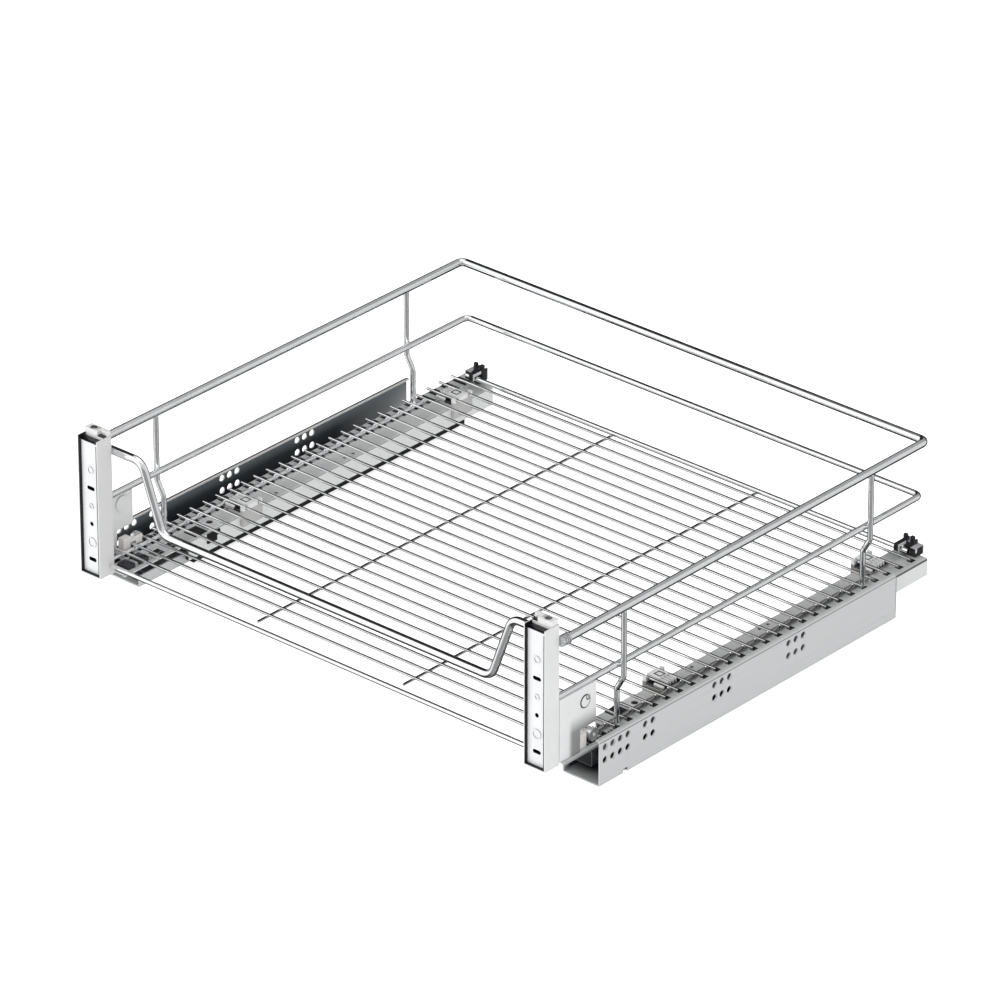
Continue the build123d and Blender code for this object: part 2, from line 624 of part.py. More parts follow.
def intermediate_rail():
    """Middle member: a channel that runs between the two roller cages."""
    half = RAIL_SHEET / 2
    inner = MIDDLE_RAIL_X - MIDDLE_RAIL_WIDTH / 2
    outer = MIDDLE_RAIL_X + MIDDLE_RAIL_WIDTH / 2
    points = (
        (inner, MIDDLE_RAIL_BOTTOM + half),
        (outer - half, MIDDLE_RAIL_BOTTOM + half),
        (outer - half, MIDDLE_RAIL_TOP - half),
        (inner, MIDDLE_RAIL_TOP - half),
    )
    return folded(points, RAIL_SHEET, RAIL_BEND, MIDDLE_RAIL_SETBACK, MIDDLE_RAIL_LENGTH)


def drawer_rail():
    """Top member: an inverted channel with windows, holes and the damper's striker."""
    half = RAIL_SHEET / 2
    points = (
        (RAIL_INNER + half, SKIRT_BOTTOM),
        (RAIL_INNER + half, RAIL_PLATE_TOP - half),
        (RAIL_STEP_X, RAIL_PLATE_TOP - half),
        (RAIL_STEP_X + RAIL_STEP_DROP, RAIL_TOP - half),
        (RAIL_OUTER - half, RAIL_TOP - half),
        (RAIL_OUTER - half, RAIL_TOP - RAIL_OUTER_SKIRT),
    )
    rail = folded(points, RAIL_SHEET, RAIL_BEND, RAIL_SETBACK, RAIL_LENGTH)
    under = RAIL_PLATE_TOP - RAIL_SHEET - RAIL_BEND
    rail -= block((RAIL_INNER - half, RAIL_INNER + RAIL_SHEET + half), (0, RAIL_SKIRT_SETBACK), (0, under))
    rail -= block(
        (RAIL_OUTER - RAIL_SHEET - half, RAIL_OUTER + half),
        (0, RAIL_RELIEF_SETBACK),
        (0, RAIL_TOP - RAIL_RELIEF_SKIRT),
    )
    width, length = RAIL_WINDOW_SIZE
    middle = RAIL_INNER + RAIL_WINDOW_INSET
    for setback in RAIL_WINDOW_SETBACKS:
        rail -= block(
            (middle - width / 2, middle + width / 2),
            (setback, setback + length),
            (under, RAIL_TOP),
        )
    rail -= bar_z(RAIL_INNER + RAIL_HOLE_INSET, RAIL_HOLE_SETBACK, under, RAIL_TOP, RAIL_HOLE_RADIUS)
    for setback in RAIL_SLOT_SETBACKS:
        rail -= bar_z(RAIL_INNER + RAIL_SLOT_INSET, setback, under, RAIL_TOP, RAIL_SLOT_RADIUS)
    for setback in SCREW_SETBACKS:
        rail -= bar_z(SCREW_X, setback, under, RAIL_TOP, SCREW_RADIUS + SCREW_HOLE_GAP)
    width, length, height = STRIKER_SIZE
    rail += block(
        (RAIL_OUTER - half, RAIL_OUTER + width),
        (STRIKER_SETBACK, STRIKER_SETBACK + length),
        (STRIKER_BOTTOM, STRIKER_BOTTOM + height),
    )
    return rail


def roller_setbacks(cage_setback):
    """Setbacks of the rollers of one cage."""
    first = cage_setback + (CAGE_LENGTH - ROLLER_PITCH * (ROLLER_COUNT - 1)) / 2
    return [first + ROLLER_PITCH * index for index in range(ROLLER_COUNT)]


def rollers(cage_setback, z):
    """Rollers of one cage."""
    low, high = ROLLER_X - ROLLER_LENGTH / 2, ROLLER_X + ROLLER_LENGTH / 2
    return Compound(
        children=[
            bar_x(low, high, setback, z, ROLLER_DIAMETER / 2) for setback in roller_setbacks(cage_setback)
        ]
    )


def cage(cage_setback, z):
    """Flat plastic strip with a window for each roller."""
    span = (z - CAGE_THICKNESS / 2, z + CAGE_THICKNESS / 2)
    strip = block(
        (ROLLER_X - CAGE_WIDTH / 2, ROLLER_X + CAGE_WIDTH / 2),
        (cage_setback, cage_setback + CAGE_LENGTH),
        span,
    )
    half_width = ROLLER_LENGTH / 2 + RUNNING_GAP
    half_length = ROLLER_DIAMETER / 2 + RUNNING_GAP
    for setback in roller_setbacks(cage_setback):
        strip -= block(
            (ROLLER_X - half_width, ROLLER_X + half_width),
            (setback - half_length, setback + half_length),
            span,
        )
    return strip


def side_guide():
    """Black strip under the inner skirt that runs beside the profile's lip."""
    span = (GUIDE_SETBACK, GUIDE_SETBACK + GUIDE_LENGTH)
    outer = PROFILE_INNER - RUNNING_GAP
    strip = block((RAIL_INNER, outer), span, (SKIRT_BOTTOM - GUIDE_HEIGHT, SKIRT_BOTTOM))
    grip = RAIL_INNER + RAIL_SHEET + WELD_GAP
    strip += block((grip, grip + GUIDE_GRIP_WIDTH), span, (SKIRT_BOTTOM, SKIRT_BOTTOM + GUIDE_GRIP_HEIGHT))
    return strip


def damper_housing():
    """Housing on the profile's wall with a bore for the spring and the plunger."""
    end = DAMPER_START + DAMPER_LENGTH
    housing = block(
        (DAMPER_X - DAMPER_WIDTH / 2, DAMPER_X + DAMPER_WIDTH / 2),
        (DAMPER_START, end),
        (DAMPER_BOTTOM, DAMPER_BOTTOM + DAMPER_HEIGHT),
    )
    bore_length = DAMPER_LENGTH - 2 * DAMPER_END_WALL
    housing -= bar_y(DAMPER_X, DAMPER_START + DAMPER_END_WALL, bore_length, DAMPER_Z, DAMPER_BORE_RADIUS)
    hole_length = DAMPER_LENGTH - DAMPER_END_WALL
    housing -= bar_y(DAMPER_X, DAMPER_START, hole_length, DAMPER_Z, PLUNGER_ROD_RADIUS + RUNNING_GAP)
    return housing


def damper_plunger():
    """Rod with a tip in front of the housing and a piston inside it."""
    plunger = bar_y(DAMPER_X, PLUNGER_START, PLUNGER_TIP_LENGTH, DAMPER_Z, PLUNGER_TIP_RADIUS)
    plunger += bar_y(DAMPER_X, PLUNGER_START, PLUNGER_ROD_LENGTH, DAMPER_Z, PLUNGER_ROD_RADIUS)
    piston_start = PLUNGER_START + PLUNGER_ROD_LENGTH - PLUNGER_PISTON_LENGTH
    piston_radius = DAMPER_BORE_RADIUS - RUNNING_GAP
    plunger += bar_y(DAMPER_X, piston_start, PLUNGER_PISTON_LENGTH, DAMPER_Z, piston_radius)
    return plunger


def damper_spring():
    """Sleeve of the compressed closing spring behind the piston."""
    start = PLUNGER_START + PLUNGER_ROD_LENGTH + RUNNING_GAP
    end = DAMPER_START + DAMPER_LENGTH - DAMPER_END_WALL - RUNNING_GAP
    sleeve = bar_y(DAMPER_X, start, end - start, DAMPER_Z, SPRING_RADIUS)
    return sleeve - bar_y(DAMPER_X, start, end - start, DAMPER_Z, SPRING_RADIUS - SPRING_WIRE)


def skirt_catch():
    """Black catch on the inner skirt's face with a tongue at its rear edge."""
    span = (RAIL_INNER - WELD_GAP - CATCH_THICKNESS, RAIL_INNER - WELD_GAP)
    catch_end = CATCH_SETBACK + CATCH_LENGTH
    top = CATCH_BOTTOM + CATCH_HEIGHT
    catch = block(span, (CATCH_SETBACK, catch_end), (CATCH_BOTTOM, top))
    middle = CATCH_BOTTOM + CATCH_HEIGHT / 2
    return catch + block(span, (catch_end, catch_end + CATCH_TONGUE), (middle, top))


def basket_clip(first_wire):
    """Pale clip that saddles the drawer rail's inner edge and grips two floor wires."""
    middle = wire_setback(first_wire) + FLOOR_WIRE_PITCH / 2
    length_span = (middle - CLIP_LENGTH / 2, middle + CLIP_LENGTH / 2)
    inner = RAIL_INNER - CLIP_OVERHANG
    outer = inner + CLIP_WIDTH
    step = RAIL_STEP_X - RAIL_SHEET
    clip = block((inner, step), length_span, (RAIL_PLATE_TOP + WELD_GAP, CLIP_TOP))
    clip += block((step, outer), length_span, (RAIL_TOP + WELD_GAP, CLIP_TOP))
    clip += block((inner, RAIL_INNER - WELD_GAP), length_span, (CLIP_LEG_BOTTOM, CLIP_TOP))
    half_slot = FLOOR_WIRE_DIAMETER / 2 + WIRE_SLOT_GAP
    for index in (first_wire, first_wire + 1):
        setback = wire_setback(index)
        slot_bottom = FLOOR_WIRE_Z - half_slot
        clip -= block((inner, outer), (setback - half_slot, setback + half_slot), (slot_bottom, CLIP_TOP))
    width, length, depth = CLIP_WINDOW
    centre = (inner + outer) / 2
    clip -= block(
        (centre - width / 2, centre + width / 2),
        (middle - length / 2, middle + length / 2),
        (CLIP_TOP - depth, CLIP_TOP),
    )
    return clip


def rear_hook():
    """Black hook on the drawer rail's rear end that reaches over the rear floor bar."""
    outer = RAIL_OUTER - HOOK_OUTER_GAP
    inner = outer - HOOK_WIDTH
    seat = RAIL_TOP + WELD_GAP
    base_top = seat + HOOK_BASE_HEIGHT
    hook = block((inner, outer), (HOOK_START, HOOK_END), (seat, base_top))
    web_end = inner + HOOK_WEB_WIDTH
    web_start = (HOOK_START + HOOK_END - HOOK_WEB_THICKNESS) / 2
    web = block((inner, web_end), (web_start, web_start + HOOK_WEB_THICKNESS), (seat, HOOK_TOP))
    notch_width, notch_depth = HOOK_WEB_NOTCH
    web_middle = (inner + web_end) / 2
    hook += web - block(
        (web_middle - notch_width / 2, web_middle + notch_width / 2),
        (HOOK_START, HOOK_END),
        (HOOK_TOP - notch_depth, HOOK_TOP),
    )
    for rib in (inner, web_end - HOOK_RIB_WIDTH):
        hook += block((rib, rib + HOOK_RIB_WIDTH), (web_start, HOOK_END), (seat, HOOK_RIB_TOP))
    hook += block((web_end, outer), (HOOK_START, HOOK_END), (seat, seat + HOOK_BLOCK_HEIGHT))
    finger_bottom = FLOOR_BAR_Z + FLOOR_BAR_DIAMETER / 2 + RUNNING_GAP
    finger_top = finger_bottom + HOOK_FINGER_HEIGHT
    tip_end = REAR_BAR_SETBACK - FLOOR_BAR_DIAMETER / 2 - RUNNING_GAP
    tip_start = tip_end - HOOK_TIP_LENGTH
    span = (inner, inner + HOOK_FINGER_WIDTH)
    hook += block(span, (tip_start, web_start), (finger_bottom, finger_top))
    hook += block(span, (tip_start, tip_end), (finger_bottom - HOOK_TIP_DROP, finger_top))
    return hook


FLOOR_BAR_RADIUS = FLOOR_BAR_DIAMETER / 2
FRONT_BAR_HALF = POST_INNER - WELD_GAP
BASE_WIRE_START = FLANGE_BACK + WELD_GAP
BASE_WIRE_LENGTH = BASE_WIRE_END - BASE_WIRE_START

SINGLE_PIECES = {
    "top_rail": u_rod(
        TOP_ROD_HALF_WIDTH, FERRULE_END + WELD_GAP, TOP_ROD_BACK, TOP_ROD_HEIGHT, TOP_ROD_DIAMETER
    ),
    "mid_rail": u_rod(
        MID_ROD_HALF_WIDTH, FLANGE_BACK + WELD_GAP, MID_ROD_BACK, MID_ROD_HEIGHT, MID_ROD_DIAMETER
    ),
    "front_rail": front_rail(),
    "floor_wires": floor_wires(),
    "front_floor_bar": bar_x(
        -FRONT_BAR_HALF, FRONT_BAR_HALF, FRONT_BAR_SETBACK, FLOOR_BAR_Z, FLOOR_BAR_RADIUS
    ),
    "rear_floor_bar": bar_x(
        -REAR_BAR_HALF_WIDTH, REAR_BAR_HALF_WIDTH, REAR_BAR_SETBACK, FLOOR_BAR_Z, FLOOR_BAR_RADIUS
    ),
    "support_wires": support_wires(),
    "bracket_screws": bracket_screws(),
    "basket_clips": both_sides([basket_clip(index) for index in CLIP_WIRE_COUNTS]),
}

RIGHT_PIECES = {
    "upright_front": upright(UPRIGHT_FRONT_SETBACK),
    "upright_rear": upright(UPRIGHT_REAR_SETBACK),
    "base_wire": bar_y(
        BASE_WIRE_HALF_SPACING, BASE_WIRE_START, BASE_WIRE_LENGTH, BASE_WIRE_Z, BASE_WIRE_DIAMETER / 2
    ),
    "post_cover": post_cover(),
    "edge_seal": edge_seal(),
    "front_plate": front_plate(),
    "top_block": top_block(),
    "rail_connector": rail_connector(),
    "side_plate": side_plate(),
    "tilt_cam": tilt_cam(),
    "wheel_holder": wheel_holder(),
    "height_wheel": height_wheel(),
    "cabinet_profile": cabinet_profile(),
    "intermediate_rail": intermediate_rail(),
    "drawer_rail": drawer_rail(),
    "lower_cage": cage(LOWER_CAGE_SETBACK, LOWER_ROLLER_Z),
    "lower_rollers": rollers(LOWER_CAGE_SETBACK, LOWER_ROLLER_Z),
    "upper_cage": cage(UPPER_CAGE_SETBACK, UPPER_ROLLER_Z),
    "upper_rollers": rollers(UPPER_CAGE_SETBACK, UPPER_ROLLER_Z),
    "side_guide": side_guide(),
    "damper_housing": damper_housing(),
    "damper_plunger": damper_plunger(),
    "damper_spring": damper_spring(),
    "skirt_catch": skirt_catch(),
    "rear_hook": rear_hook(),
}

os.makedirs("parts", exist_ok=True)
for name, piece in SINGLE_PIECES.items():
    export_step(piece, f"parts/{name}.step")
for name, piece in RIGHT_PIECES.items():
    export_step(piece, f"parts/{name}_right.step")
    export_step(mirrored(piece), f"parts/{name}_left.step")
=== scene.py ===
"""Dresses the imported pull-out wire drawer and sets it in a plain studio.

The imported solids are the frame. Each sub-assembly of the drawer is a class that
gives its solids their finish and adds the small forms that the solids leave out.
Lengths are in metres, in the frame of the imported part: X across the cabinet,
Y from the front to the back, Z up.
"""

import logging
import math
from dataclasses import dataclass, replace
from enum import Enum
from typing import ClassVar, Iterable, Optional, Sequence, Union

import bmesh
import bpy
from mathutils import Matrix, Vector


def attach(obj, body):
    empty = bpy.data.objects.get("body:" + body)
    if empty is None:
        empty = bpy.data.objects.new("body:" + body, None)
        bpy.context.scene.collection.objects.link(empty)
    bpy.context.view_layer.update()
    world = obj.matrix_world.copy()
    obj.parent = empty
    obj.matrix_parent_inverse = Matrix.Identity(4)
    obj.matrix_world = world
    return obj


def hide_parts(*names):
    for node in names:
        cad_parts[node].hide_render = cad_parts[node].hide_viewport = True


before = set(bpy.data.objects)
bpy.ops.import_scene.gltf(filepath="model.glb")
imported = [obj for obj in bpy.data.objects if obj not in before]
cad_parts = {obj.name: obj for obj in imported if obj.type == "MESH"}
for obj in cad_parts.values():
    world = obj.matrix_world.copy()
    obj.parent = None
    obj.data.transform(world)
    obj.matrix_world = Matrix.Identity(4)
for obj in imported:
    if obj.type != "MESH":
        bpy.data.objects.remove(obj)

Colour = tuple[float, float, float]
Point = tuple[float, float, float]
Span = tuple[float, float]
Socket = bpy.types.NodeSocket

MILLIMETRE = 0.001
FRONT_PLANE = -0.249
WIRE_PITCH = 16.055
GRAIN_BAND = (0.3, 0.7)
CLOUD_BAND = (0.35, 0.65)
GRAIN_DETAIL = 3.0
NOISE_ROUGHNESS = 0.55
FACING_BAND = (0.5, 0.9)
SOFT_EDGE = 0.0006
SHARP_EDGE = 0.0003
SEAM_REACH = 0.001
FACET_ANGLE = math.radians(0.5)
EDGE_ANGLE = math.radians(40)
SMOOTH_ANGLE = math.radians(35)
ROUNDING_STEPS = 2
ROUNDING_SHAPE = 0.6
DRUM_SIDES = 40
HOLE_SIDES = 48
ARC_STEPS = 28
LOG = logging.getLogger("drawer")


def mm(value: float) -> float:
    """Turns millimetres into metres."""
    return value * MILLIMETRE


def back(setback: float) -> float:
    """Gives the Y of a point that lies so many millimetres behind the front plane."""
    return FRONT_PLANE + mm(setback)


class Side(Enum):
    """The two mirrored halves of the drawer."""

    LEFT = -1
    RIGHT = 1

    @property
    def label(self) -> str:
        """Gives the ending that this side's nodes carry."""
        return self.name.lower()

    def node(self, stem: str) -> str:
        """Gives the name of this side's node."""
        return f"{stem}_{self.label}"

    def x(self, value: float) -> float:
        """Gives the X of a distance in millimetres from the middle."""
        return self.value * mm(value)


class NodeSheet:
    """Lays out shader nodes in one tree.

    Attributes:
        tree: The tree that is being filled.
        place: Its node of coordinates.
    """

    def __init__(self, tree: bpy.types.NodeTree) -> None:
        """Starts with the coordinates alone."""
        self.tree = tree
        self.place = self.add("ShaderNodeTexCoord")

    def feed(self, node: bpy.types.Node, inputs: dict) -> None:
        """Links or sets a node's inputs.

        Args:
            node: The node.
            inputs: Sockets to link and values to set, by the input's name or number.
        """
        for key, value in inputs.items():
            if isinstance(value, Socket):
                self.tree.links.new(value, node.inputs[key])
            else:
                node.inputs[key].default_value = value

    def add(self, kind: str, inputs: Optional[dict] = None, **settings: object) -> bpy.types.Node:
        """Adds one node.

        Args:
            kind: Blender's name of the node type.
            inputs: What its inputs are fed.
            settings: Values for the node's own properties.

        Returns:
            The new node.
        """
        node = self.tree.nodes.new(kind)
        for key, value in settings.items():
            setattr(node, key, value)
        self.feed(node, inputs or {})
        return node

    def stretched(self, scale: Point) -> Socket:
        """Gives the object's coordinates, multiplied along each axis."""
        inputs = {"Vector": self.place.outputs["Object"], "Scale": scale}
        return self.add("ShaderNodeMapping", inputs).outputs["Vector"]

    def noise(self, scale: Point, detail: float = 2.0) -> Socket:
        """Gives a noise field with the given cells per metre along each axis."""
        shape = {"Scale": 1.0, "Detail": detail, "Roughness": NOISE_ROUGHNESS}
        return self.add("ShaderNodeTexNoise", {"Vector": self.stretched(scale), **shape}).outputs["Fac"]

    def ramp(self, source: Socket, stops: Sequence[tuple[float, Colour]]) -> Socket:
        """Turns a number into a colour.

        Args:
            source: Socket with the number.
            stops: Places along the ramp and their colours.

        Returns:
            The socket that holds the colour.
        """
        node = self.add("ShaderNodeValToRGB", {"Fac": source})
        elements = node.color_ramp.elements
        while len(elements) < len(stops):
            elements.new(0.5)
        for element, (position, colour) in zip(elements, stops):
            element.position = position
            element.color = (*colour, 1.0)
        return node.outputs["Color"]

    def grained(self, scale: Point, dark: Colour, light: Colour, detail: float = 2.0) -> Socket:
        """Gives a grained colour, dark in the valleys of the noise and light on its peaks."""
        return self.ramp(self.noise(scale, detail), tuple(zip(GRAIN_BAND, (dark, light))))

    def span(self, source: Socket, low: Span, high: Span, kind: str = "LINEAR") -> Socket:
        """Maps a number so that low[0] becomes low[1], and high[0] becomes high[1]."""
        values = {
            "Value": source, "From Min": low[0], "From Max": high[0], "To Min": low[1], "To Max": high[1],
        }
        return self.add("ShaderNodeMapRange", values, interpolation_type=kind).outputs["Result"]

    def maths(self, operation: str, first: Socket, second: Union[Socket, float]) -> Socket:
        """Gives the result of one step of arithmetic."""
        return self.add("ShaderNodeMath", {0: first, 1: second}, operation=operation).outputs[0]

    def part_of(self, output: str, axis: str) -> Socket:
        """Gives one axis of the Object or Generated coordinates, or of the Normal."""
        return self.add("ShaderNodeSeparateXYZ", {"Vector": self.place.outputs[output]}).outputs[axis]

    def toward(self, way: Vector) -> Socket:
        """Gives how far the direction that is looked in points one way, from -1 to 1."""
        inputs = {0: self.place.outputs["Generated"], 1: way}
        return self.add("ShaderNodeVectorMath", inputs, operation="DOT_PRODUCT").outputs["Value"]

    def mix(self, share: Socket, first: Socket, second: Socket) -> Socket:
        """Mixes two colours by the second one's share."""
        node = self.add("ShaderNodeMix", {"Factor": share, "A": first, "B": second}, data_type="RGBA")
        return next(socket for socket in node.outputs if socket.type == "RGBA")

    def relief(self, source: Socket, height: float) -> Socket:
        """Gives the normal bent by a height field that rises so many metres."""
        inputs = {"Height": source, "Strength": 1.0, "Distance": height}
        return self.add("ShaderNodeBump", inputs).outputs["Normal"]


class MaterialSheet(NodeSheet):
    """Lays out the shader nodes of one material.

    Attributes:
        material: The material that is being built.
        shader: Its principled shader.
    """

    def __init__(self, name: str) -> None:
        """Starts an empty material with its shader and output.

        Args:
            name: Name of the material.
        """
        self.material = bpy.data.materials.new(name)
        self.material.use_nodes = True
        self.material.node_tree.nodes.clear()
        super().__init__(self.material.node_tree)
        self.shader = self.add("ShaderNodeBsdfPrincipled")
        self.add("ShaderNodeOutputMaterial", {"Surface": self.shader.outputs["BSDF"]})


@dataclass(frozen=True)
class Window:
    """A soft step along one axis of a surface's place or normal.

    Attributes:
        output: Either Object, in metres, or Normal.
        axis: X, Y or Z.
        start: Where the step is still 0.
        end: Where the step has reached 1.
        first: Place of the first stripe, for stripes that repeat.
        pitch: Distance between stripes, or 0 for a single step.
    """

    output: str
    axis: str
    start: float
    end: float
    first: float = 0.0
    pitch: float = 0.0

    def mask(self, sheet: NodeSheet) -> Socket:
        """Gives the step as a number between 0 and 1.

        Args:
            sheet: Material that is being built.

        Returns:
            The socket that holds the number.
        """
        source = sheet.part_of(self.output, self.axis)
        if self.pitch:
            source = sheet.maths("PINGPONG", sheet.maths("SUBTRACT", source, self.first), self.pitch / 2)
        return sheet.span(source, (self.start, 0.0), (self.end, 1.0))


@dataclass(frozen=True)
class Mark:
    """A patch of another colour on a finish.

    Attributes:
        windows: Steps that are multiplied into the patch.
        low: Colour at the patch's bottom.
        high: Colour at its top, where that is another.
        heights: Bottom and top in metres.
    """

    windows: tuple[Window, ...]
    low: Colour
    high: Optional[Colour] = None
    heights: Span = (0.0, 0.17)

    def over(self, sheet: NodeSheet, ground: Socket) -> Socket:
        """Lays the patch over a colour.

        Args:
            sheet: Material that is being built.
            ground: Socket with the colour underneath.

        Returns:
            The socket that holds both.
        """
        share = self.windows[0].mask(sheet)
        for window in self.windows[1:]:
            share = sheet.maths("MULTIPLY", share, window.mask(sheet))
        bottom, top = self.heights
        rise = sheet.span(sheet.part_of("Object", "Z"), (bottom, 0.0), (top, 1.0))
        patch = sheet.ramp(rise, ((0.0, self.low), (1.0, self.high or self.low)))
        return sheet.mix(share, ground, patch)


@dataclass(frozen=True)
class Finish:
    """A surface with a grained colour, a clouded gloss and a fine relief.

    Attributes:
        name: Name of the material.
        slot: Material slot in the record; not used.
        dark: Colour in the valleys of the grain.
        light: Colour on the peaks of the grain.
        metallic: Share of metal in the shading.
        gloss: Lowest and highest roughness.
        grain: Cells per metre of the colour grain along X, Y and Z.
        cloud: Cells per metre of the gloss clouds.
        texture: Cells per metre of the relief along X, Y and Z.
        relief: Height of the relief in metres.
        coat: Weight of a clear coat.
        marks: Patches of other colours.
    """

    name: str
    slot: str
    dark: Colour
    light: Colour
    metallic: float
    gloss: Span
    grain: Point
    cloud: Point
    texture: Point
    relief: float
    coat: float = 0.0
    marks: tuple[Mark, ...] = ()

    def colour(self, sheet: NodeSheet) -> Socket:
        """Gives the grained colour with its patches.

        Args:
            sheet: Material that is being built.

        Returns:
            The socket that holds the colour.
        """
        ground = sheet.grained(self.grain, self.dark, self.light, GRAIN_DETAIL)
        for mark in self.marks:
            ground = mark.over(sheet, ground)
        return ground

    def height(self, sheet: NodeSheet) -> Socket:
        """Gives the relief's height field."""
        return sheet.noise(self.texture)

    def material(self) -> bpy.types.Material:
        """Builds the material.

        Returns:
            The finished material.
        """
        sheet = MaterialSheet(self.name)
        inputs = {
            "Metallic": self.metallic,
            "Coat Weight": self.coat,
            "Base Color": self.colour(sheet),
            "Roughness": sheet.span(sheet.noise(self.cloud), *zip(CLOUD_BAND, self.gloss)),
            "Normal": sheet.relief(self.height(sheet), self.relief),
        }
        sheet.feed(sheet.shader, inputs)
        return sheet.material


@dataclass(frozen=True)
class MouldedPlastic(Finish):
    """Moulded plastic with the fine pebbles of an etched tool."""

    def height(self, sheet: NodeSheet) -> Socket:
        """Gives the pebbles' height field."""
        inputs = {"Vector": sheet.stretched(self.texture), "Scale": 1.0}
        return sheet.add("ShaderNodeTexVoronoi", inputs).outputs["Distance"]


def facing(axis: str, direction: float) -> Window:
    """Gives the step that picks the faces looking one way along an axis."""
    return Window("Normal", axis, *(level * direction for level in FACING_BAND))


def beyond(axis: str, value: float, direction: float = 1.0, blur: float = SOFT_EDGE) -> Window:
    """Gives the step that picks what lies past a place in metres."""
    return Window("Object", axis, value, value + blur * direction)


def even(cells: float) -> Point:
    """Gives the same number of cells along every axis."""
    return (cells, cells, cells)


def grey(level: float) -> Colour:
    """Gives a neutral grey."""
    return (level, level, level)


# Painted dark reflection: near-black for the floor bars' end faces and the support wires' upper side.
DARK_REFLECTION = (0.03, 0.03, 0.035)
WIRE_SHADE = (0.10, 0.10, 0.105)
# Painted shade: a darker grey for the floor wires' ends over the right rail.
SHADED_WIRE = (0.36, 0.36, 0.355)
CHROME = Finish(
    "chrome_wire", "chrome_wire", (0.80, 0.81, 0.82), (0.88, 0.89, 0.90), 1.0, (0.06, 0.12),
    even(60), even(90), even(700), 0.000003,
)
# Painted dark reflection on the floor bars' end faces.
BAR_CHROME = replace(
    CHROME, name="floor_bar",
    marks=tuple(Mark((Window("Normal", "X", 0.93 * way, 0.97 * way),), DARK_REFLECTION) for way in (-1, 1)),
)
FLOOR_SHADE = (
    Window("Normal", "Z", 0.56, 0.70), beyond("X", mm(236), -1, 0.02), beyond("X", mm(-236), 1, 0.03),
)
# Painted shade: the floor wires' upper side is dark over the open floor, and their ends over the right rail
# are darker.
FLOOR_CHROME = replace(
    CHROME, name="floor_wire",
    marks=(Mark(FLOOR_SHADE, WIRE_SHADE), Mark((beyond("X", mm(226), 1, 0.012),), SHADED_WIRE)),
)
# Painted shade: a darker copy of the chrome for the right base wire.
SHADED_CHROME = replace(
    CHROME, name="shaded_chrome", dark=(0.32, 0.32, 0.315), light=(0.38, 0.38, 0.375), gloss=(0.10, 0.18),
)
# Painted dark reflection on the support wires' upper side.
SUPPORT_CHROME = replace(
    CHROME, name="support_wire", marks=(Mark((Window("Normal", "Z", 0.40, 0.52),), DARK_REFLECTION),),
)
ROLLED_ZINC = dict(
    metallic=0.22, gloss=(0.34, 0.42), grain=(500, 9, 500), cloud=(40, 12, 40),
    texture=(1500, 30, 1500), relief=0.000003,
)
# Painted shade: near-black for shadowed gaps and hollows.
BLACK_SHADE = (0.006, 0.006, 0.007)
# Painted light: the left flange top is lighter than the right one, which stays near the zinc's grey.
FLANGE_TOP_LIGHT = {Side.LEFT: (0.82, 0.83, 0.83), Side.RIGHT: (0.60, 0.61, 0.61)}
# X and height past which each flange's rim gets a painted shadow line.
FLANGE_RIM = {Side.LEFT: (276.2, 41.8), Side.RIGHT: (279.0, 42.5)}
# X limits and half length of the painted black shade dashes between the wires on each rail top.
RAIL_SHADE_DASHES = {Side.LEFT: (247.5, 263.5, 5.2), Side.RIGHT: (254.0, 260.5, 3.4)}


def profile_zinc(side: Side) -> Finish:
    """Gives the fixed channel's zinc with painted shade, painted highlights and painted shadow lines.

    Args:
        side: Which channel it is for.

    Returns:
        The finish.
    """
    rim_x, rim_z = FLANGE_RIM[side]
    outside, upward = facing("X", side.value), facing("Z", 1)
    wall = (facing("X", -side.value), beyond("X", side.x(271), side.value))
    wall_high = (*wall, beyond("Z", mm(28.5), 1, 0.011))
    wall_rear = (*wall, beyond("Y", back(338), 1, 0.08))
    wall_brim = (*wall, beyond("Z", mm(38.8), 1, 0.0008))
    flange = (upward, beyond("Z", mm(41.8)))
    rim = (upward, beyond("Z", mm(rim_z)), beyond("X", side.x(rim_x), side.value))
    bottom_line = (outside, beyond("Z", mm(0.9), -1, SHARP_EDGE))
    rear_line = (outside, beyond("Y", back(431), 1, SHARP_EDGE))
    floor = (upward, beyond("Z", mm(6), -1), beyond("Y", back(48), 1, 0.02))
    lip = (outside, beyond("X", side.x(243), -side.value), beyond("Y", back(48), 1, 0.008))
    bend = (outside, beyond("Z", mm(40.5), 1, SHARP_EDGE), beyond("Z", mm(41.6), -1, SHARP_EDGE))
    return Finish(
        f"profile_zinc_{side.label}", "zinc_sheet", (0.59, 0.60, 0.605), (0.63, 0.64, 0.645),
        **ROLLED_ZINC,
        marks=(
            # Painted shade on the inner wall, darker towards the bottom, with painted light on its upper
            # part, its rear and its brim.
            Mark(wall, (0.022, 0.028, 0.033), (0.058, 0.068, 0.076), (0.006, 0.027)),
            Mark(wall_high, (0.26, 0.29, 0.305)),
            Mark(wall_rear, (0.80, 0.82, 0.83), (0.30, 0.33, 0.345), (0.010, 0.034)),
            Mark(wall_brim, (0.92, 0.93, 0.93)),
            # Painted light and shade on the flange top, and a painted shadow line along its rim.
            Mark(flange, FLANGE_TOP_LIGHT[side]),
            Mark(rim, (0.04, 0.036, 0.032)),
            # Painted shadow lines along the outer wall's foot, its rear end and under the bend; painted
            # shade on the channel floor and on the inner lip.
            Mark(bottom_line, grey(0.14)),
            Mark(rear_line, grey(0.20)),
            Mark(floor, (0.05, 0.055, 0.06)),
            Mark(lip, (0.04, 0.045, 0.05)),
            Mark(bend, (0.16, 0.17, 0.18)),
        ),
    )


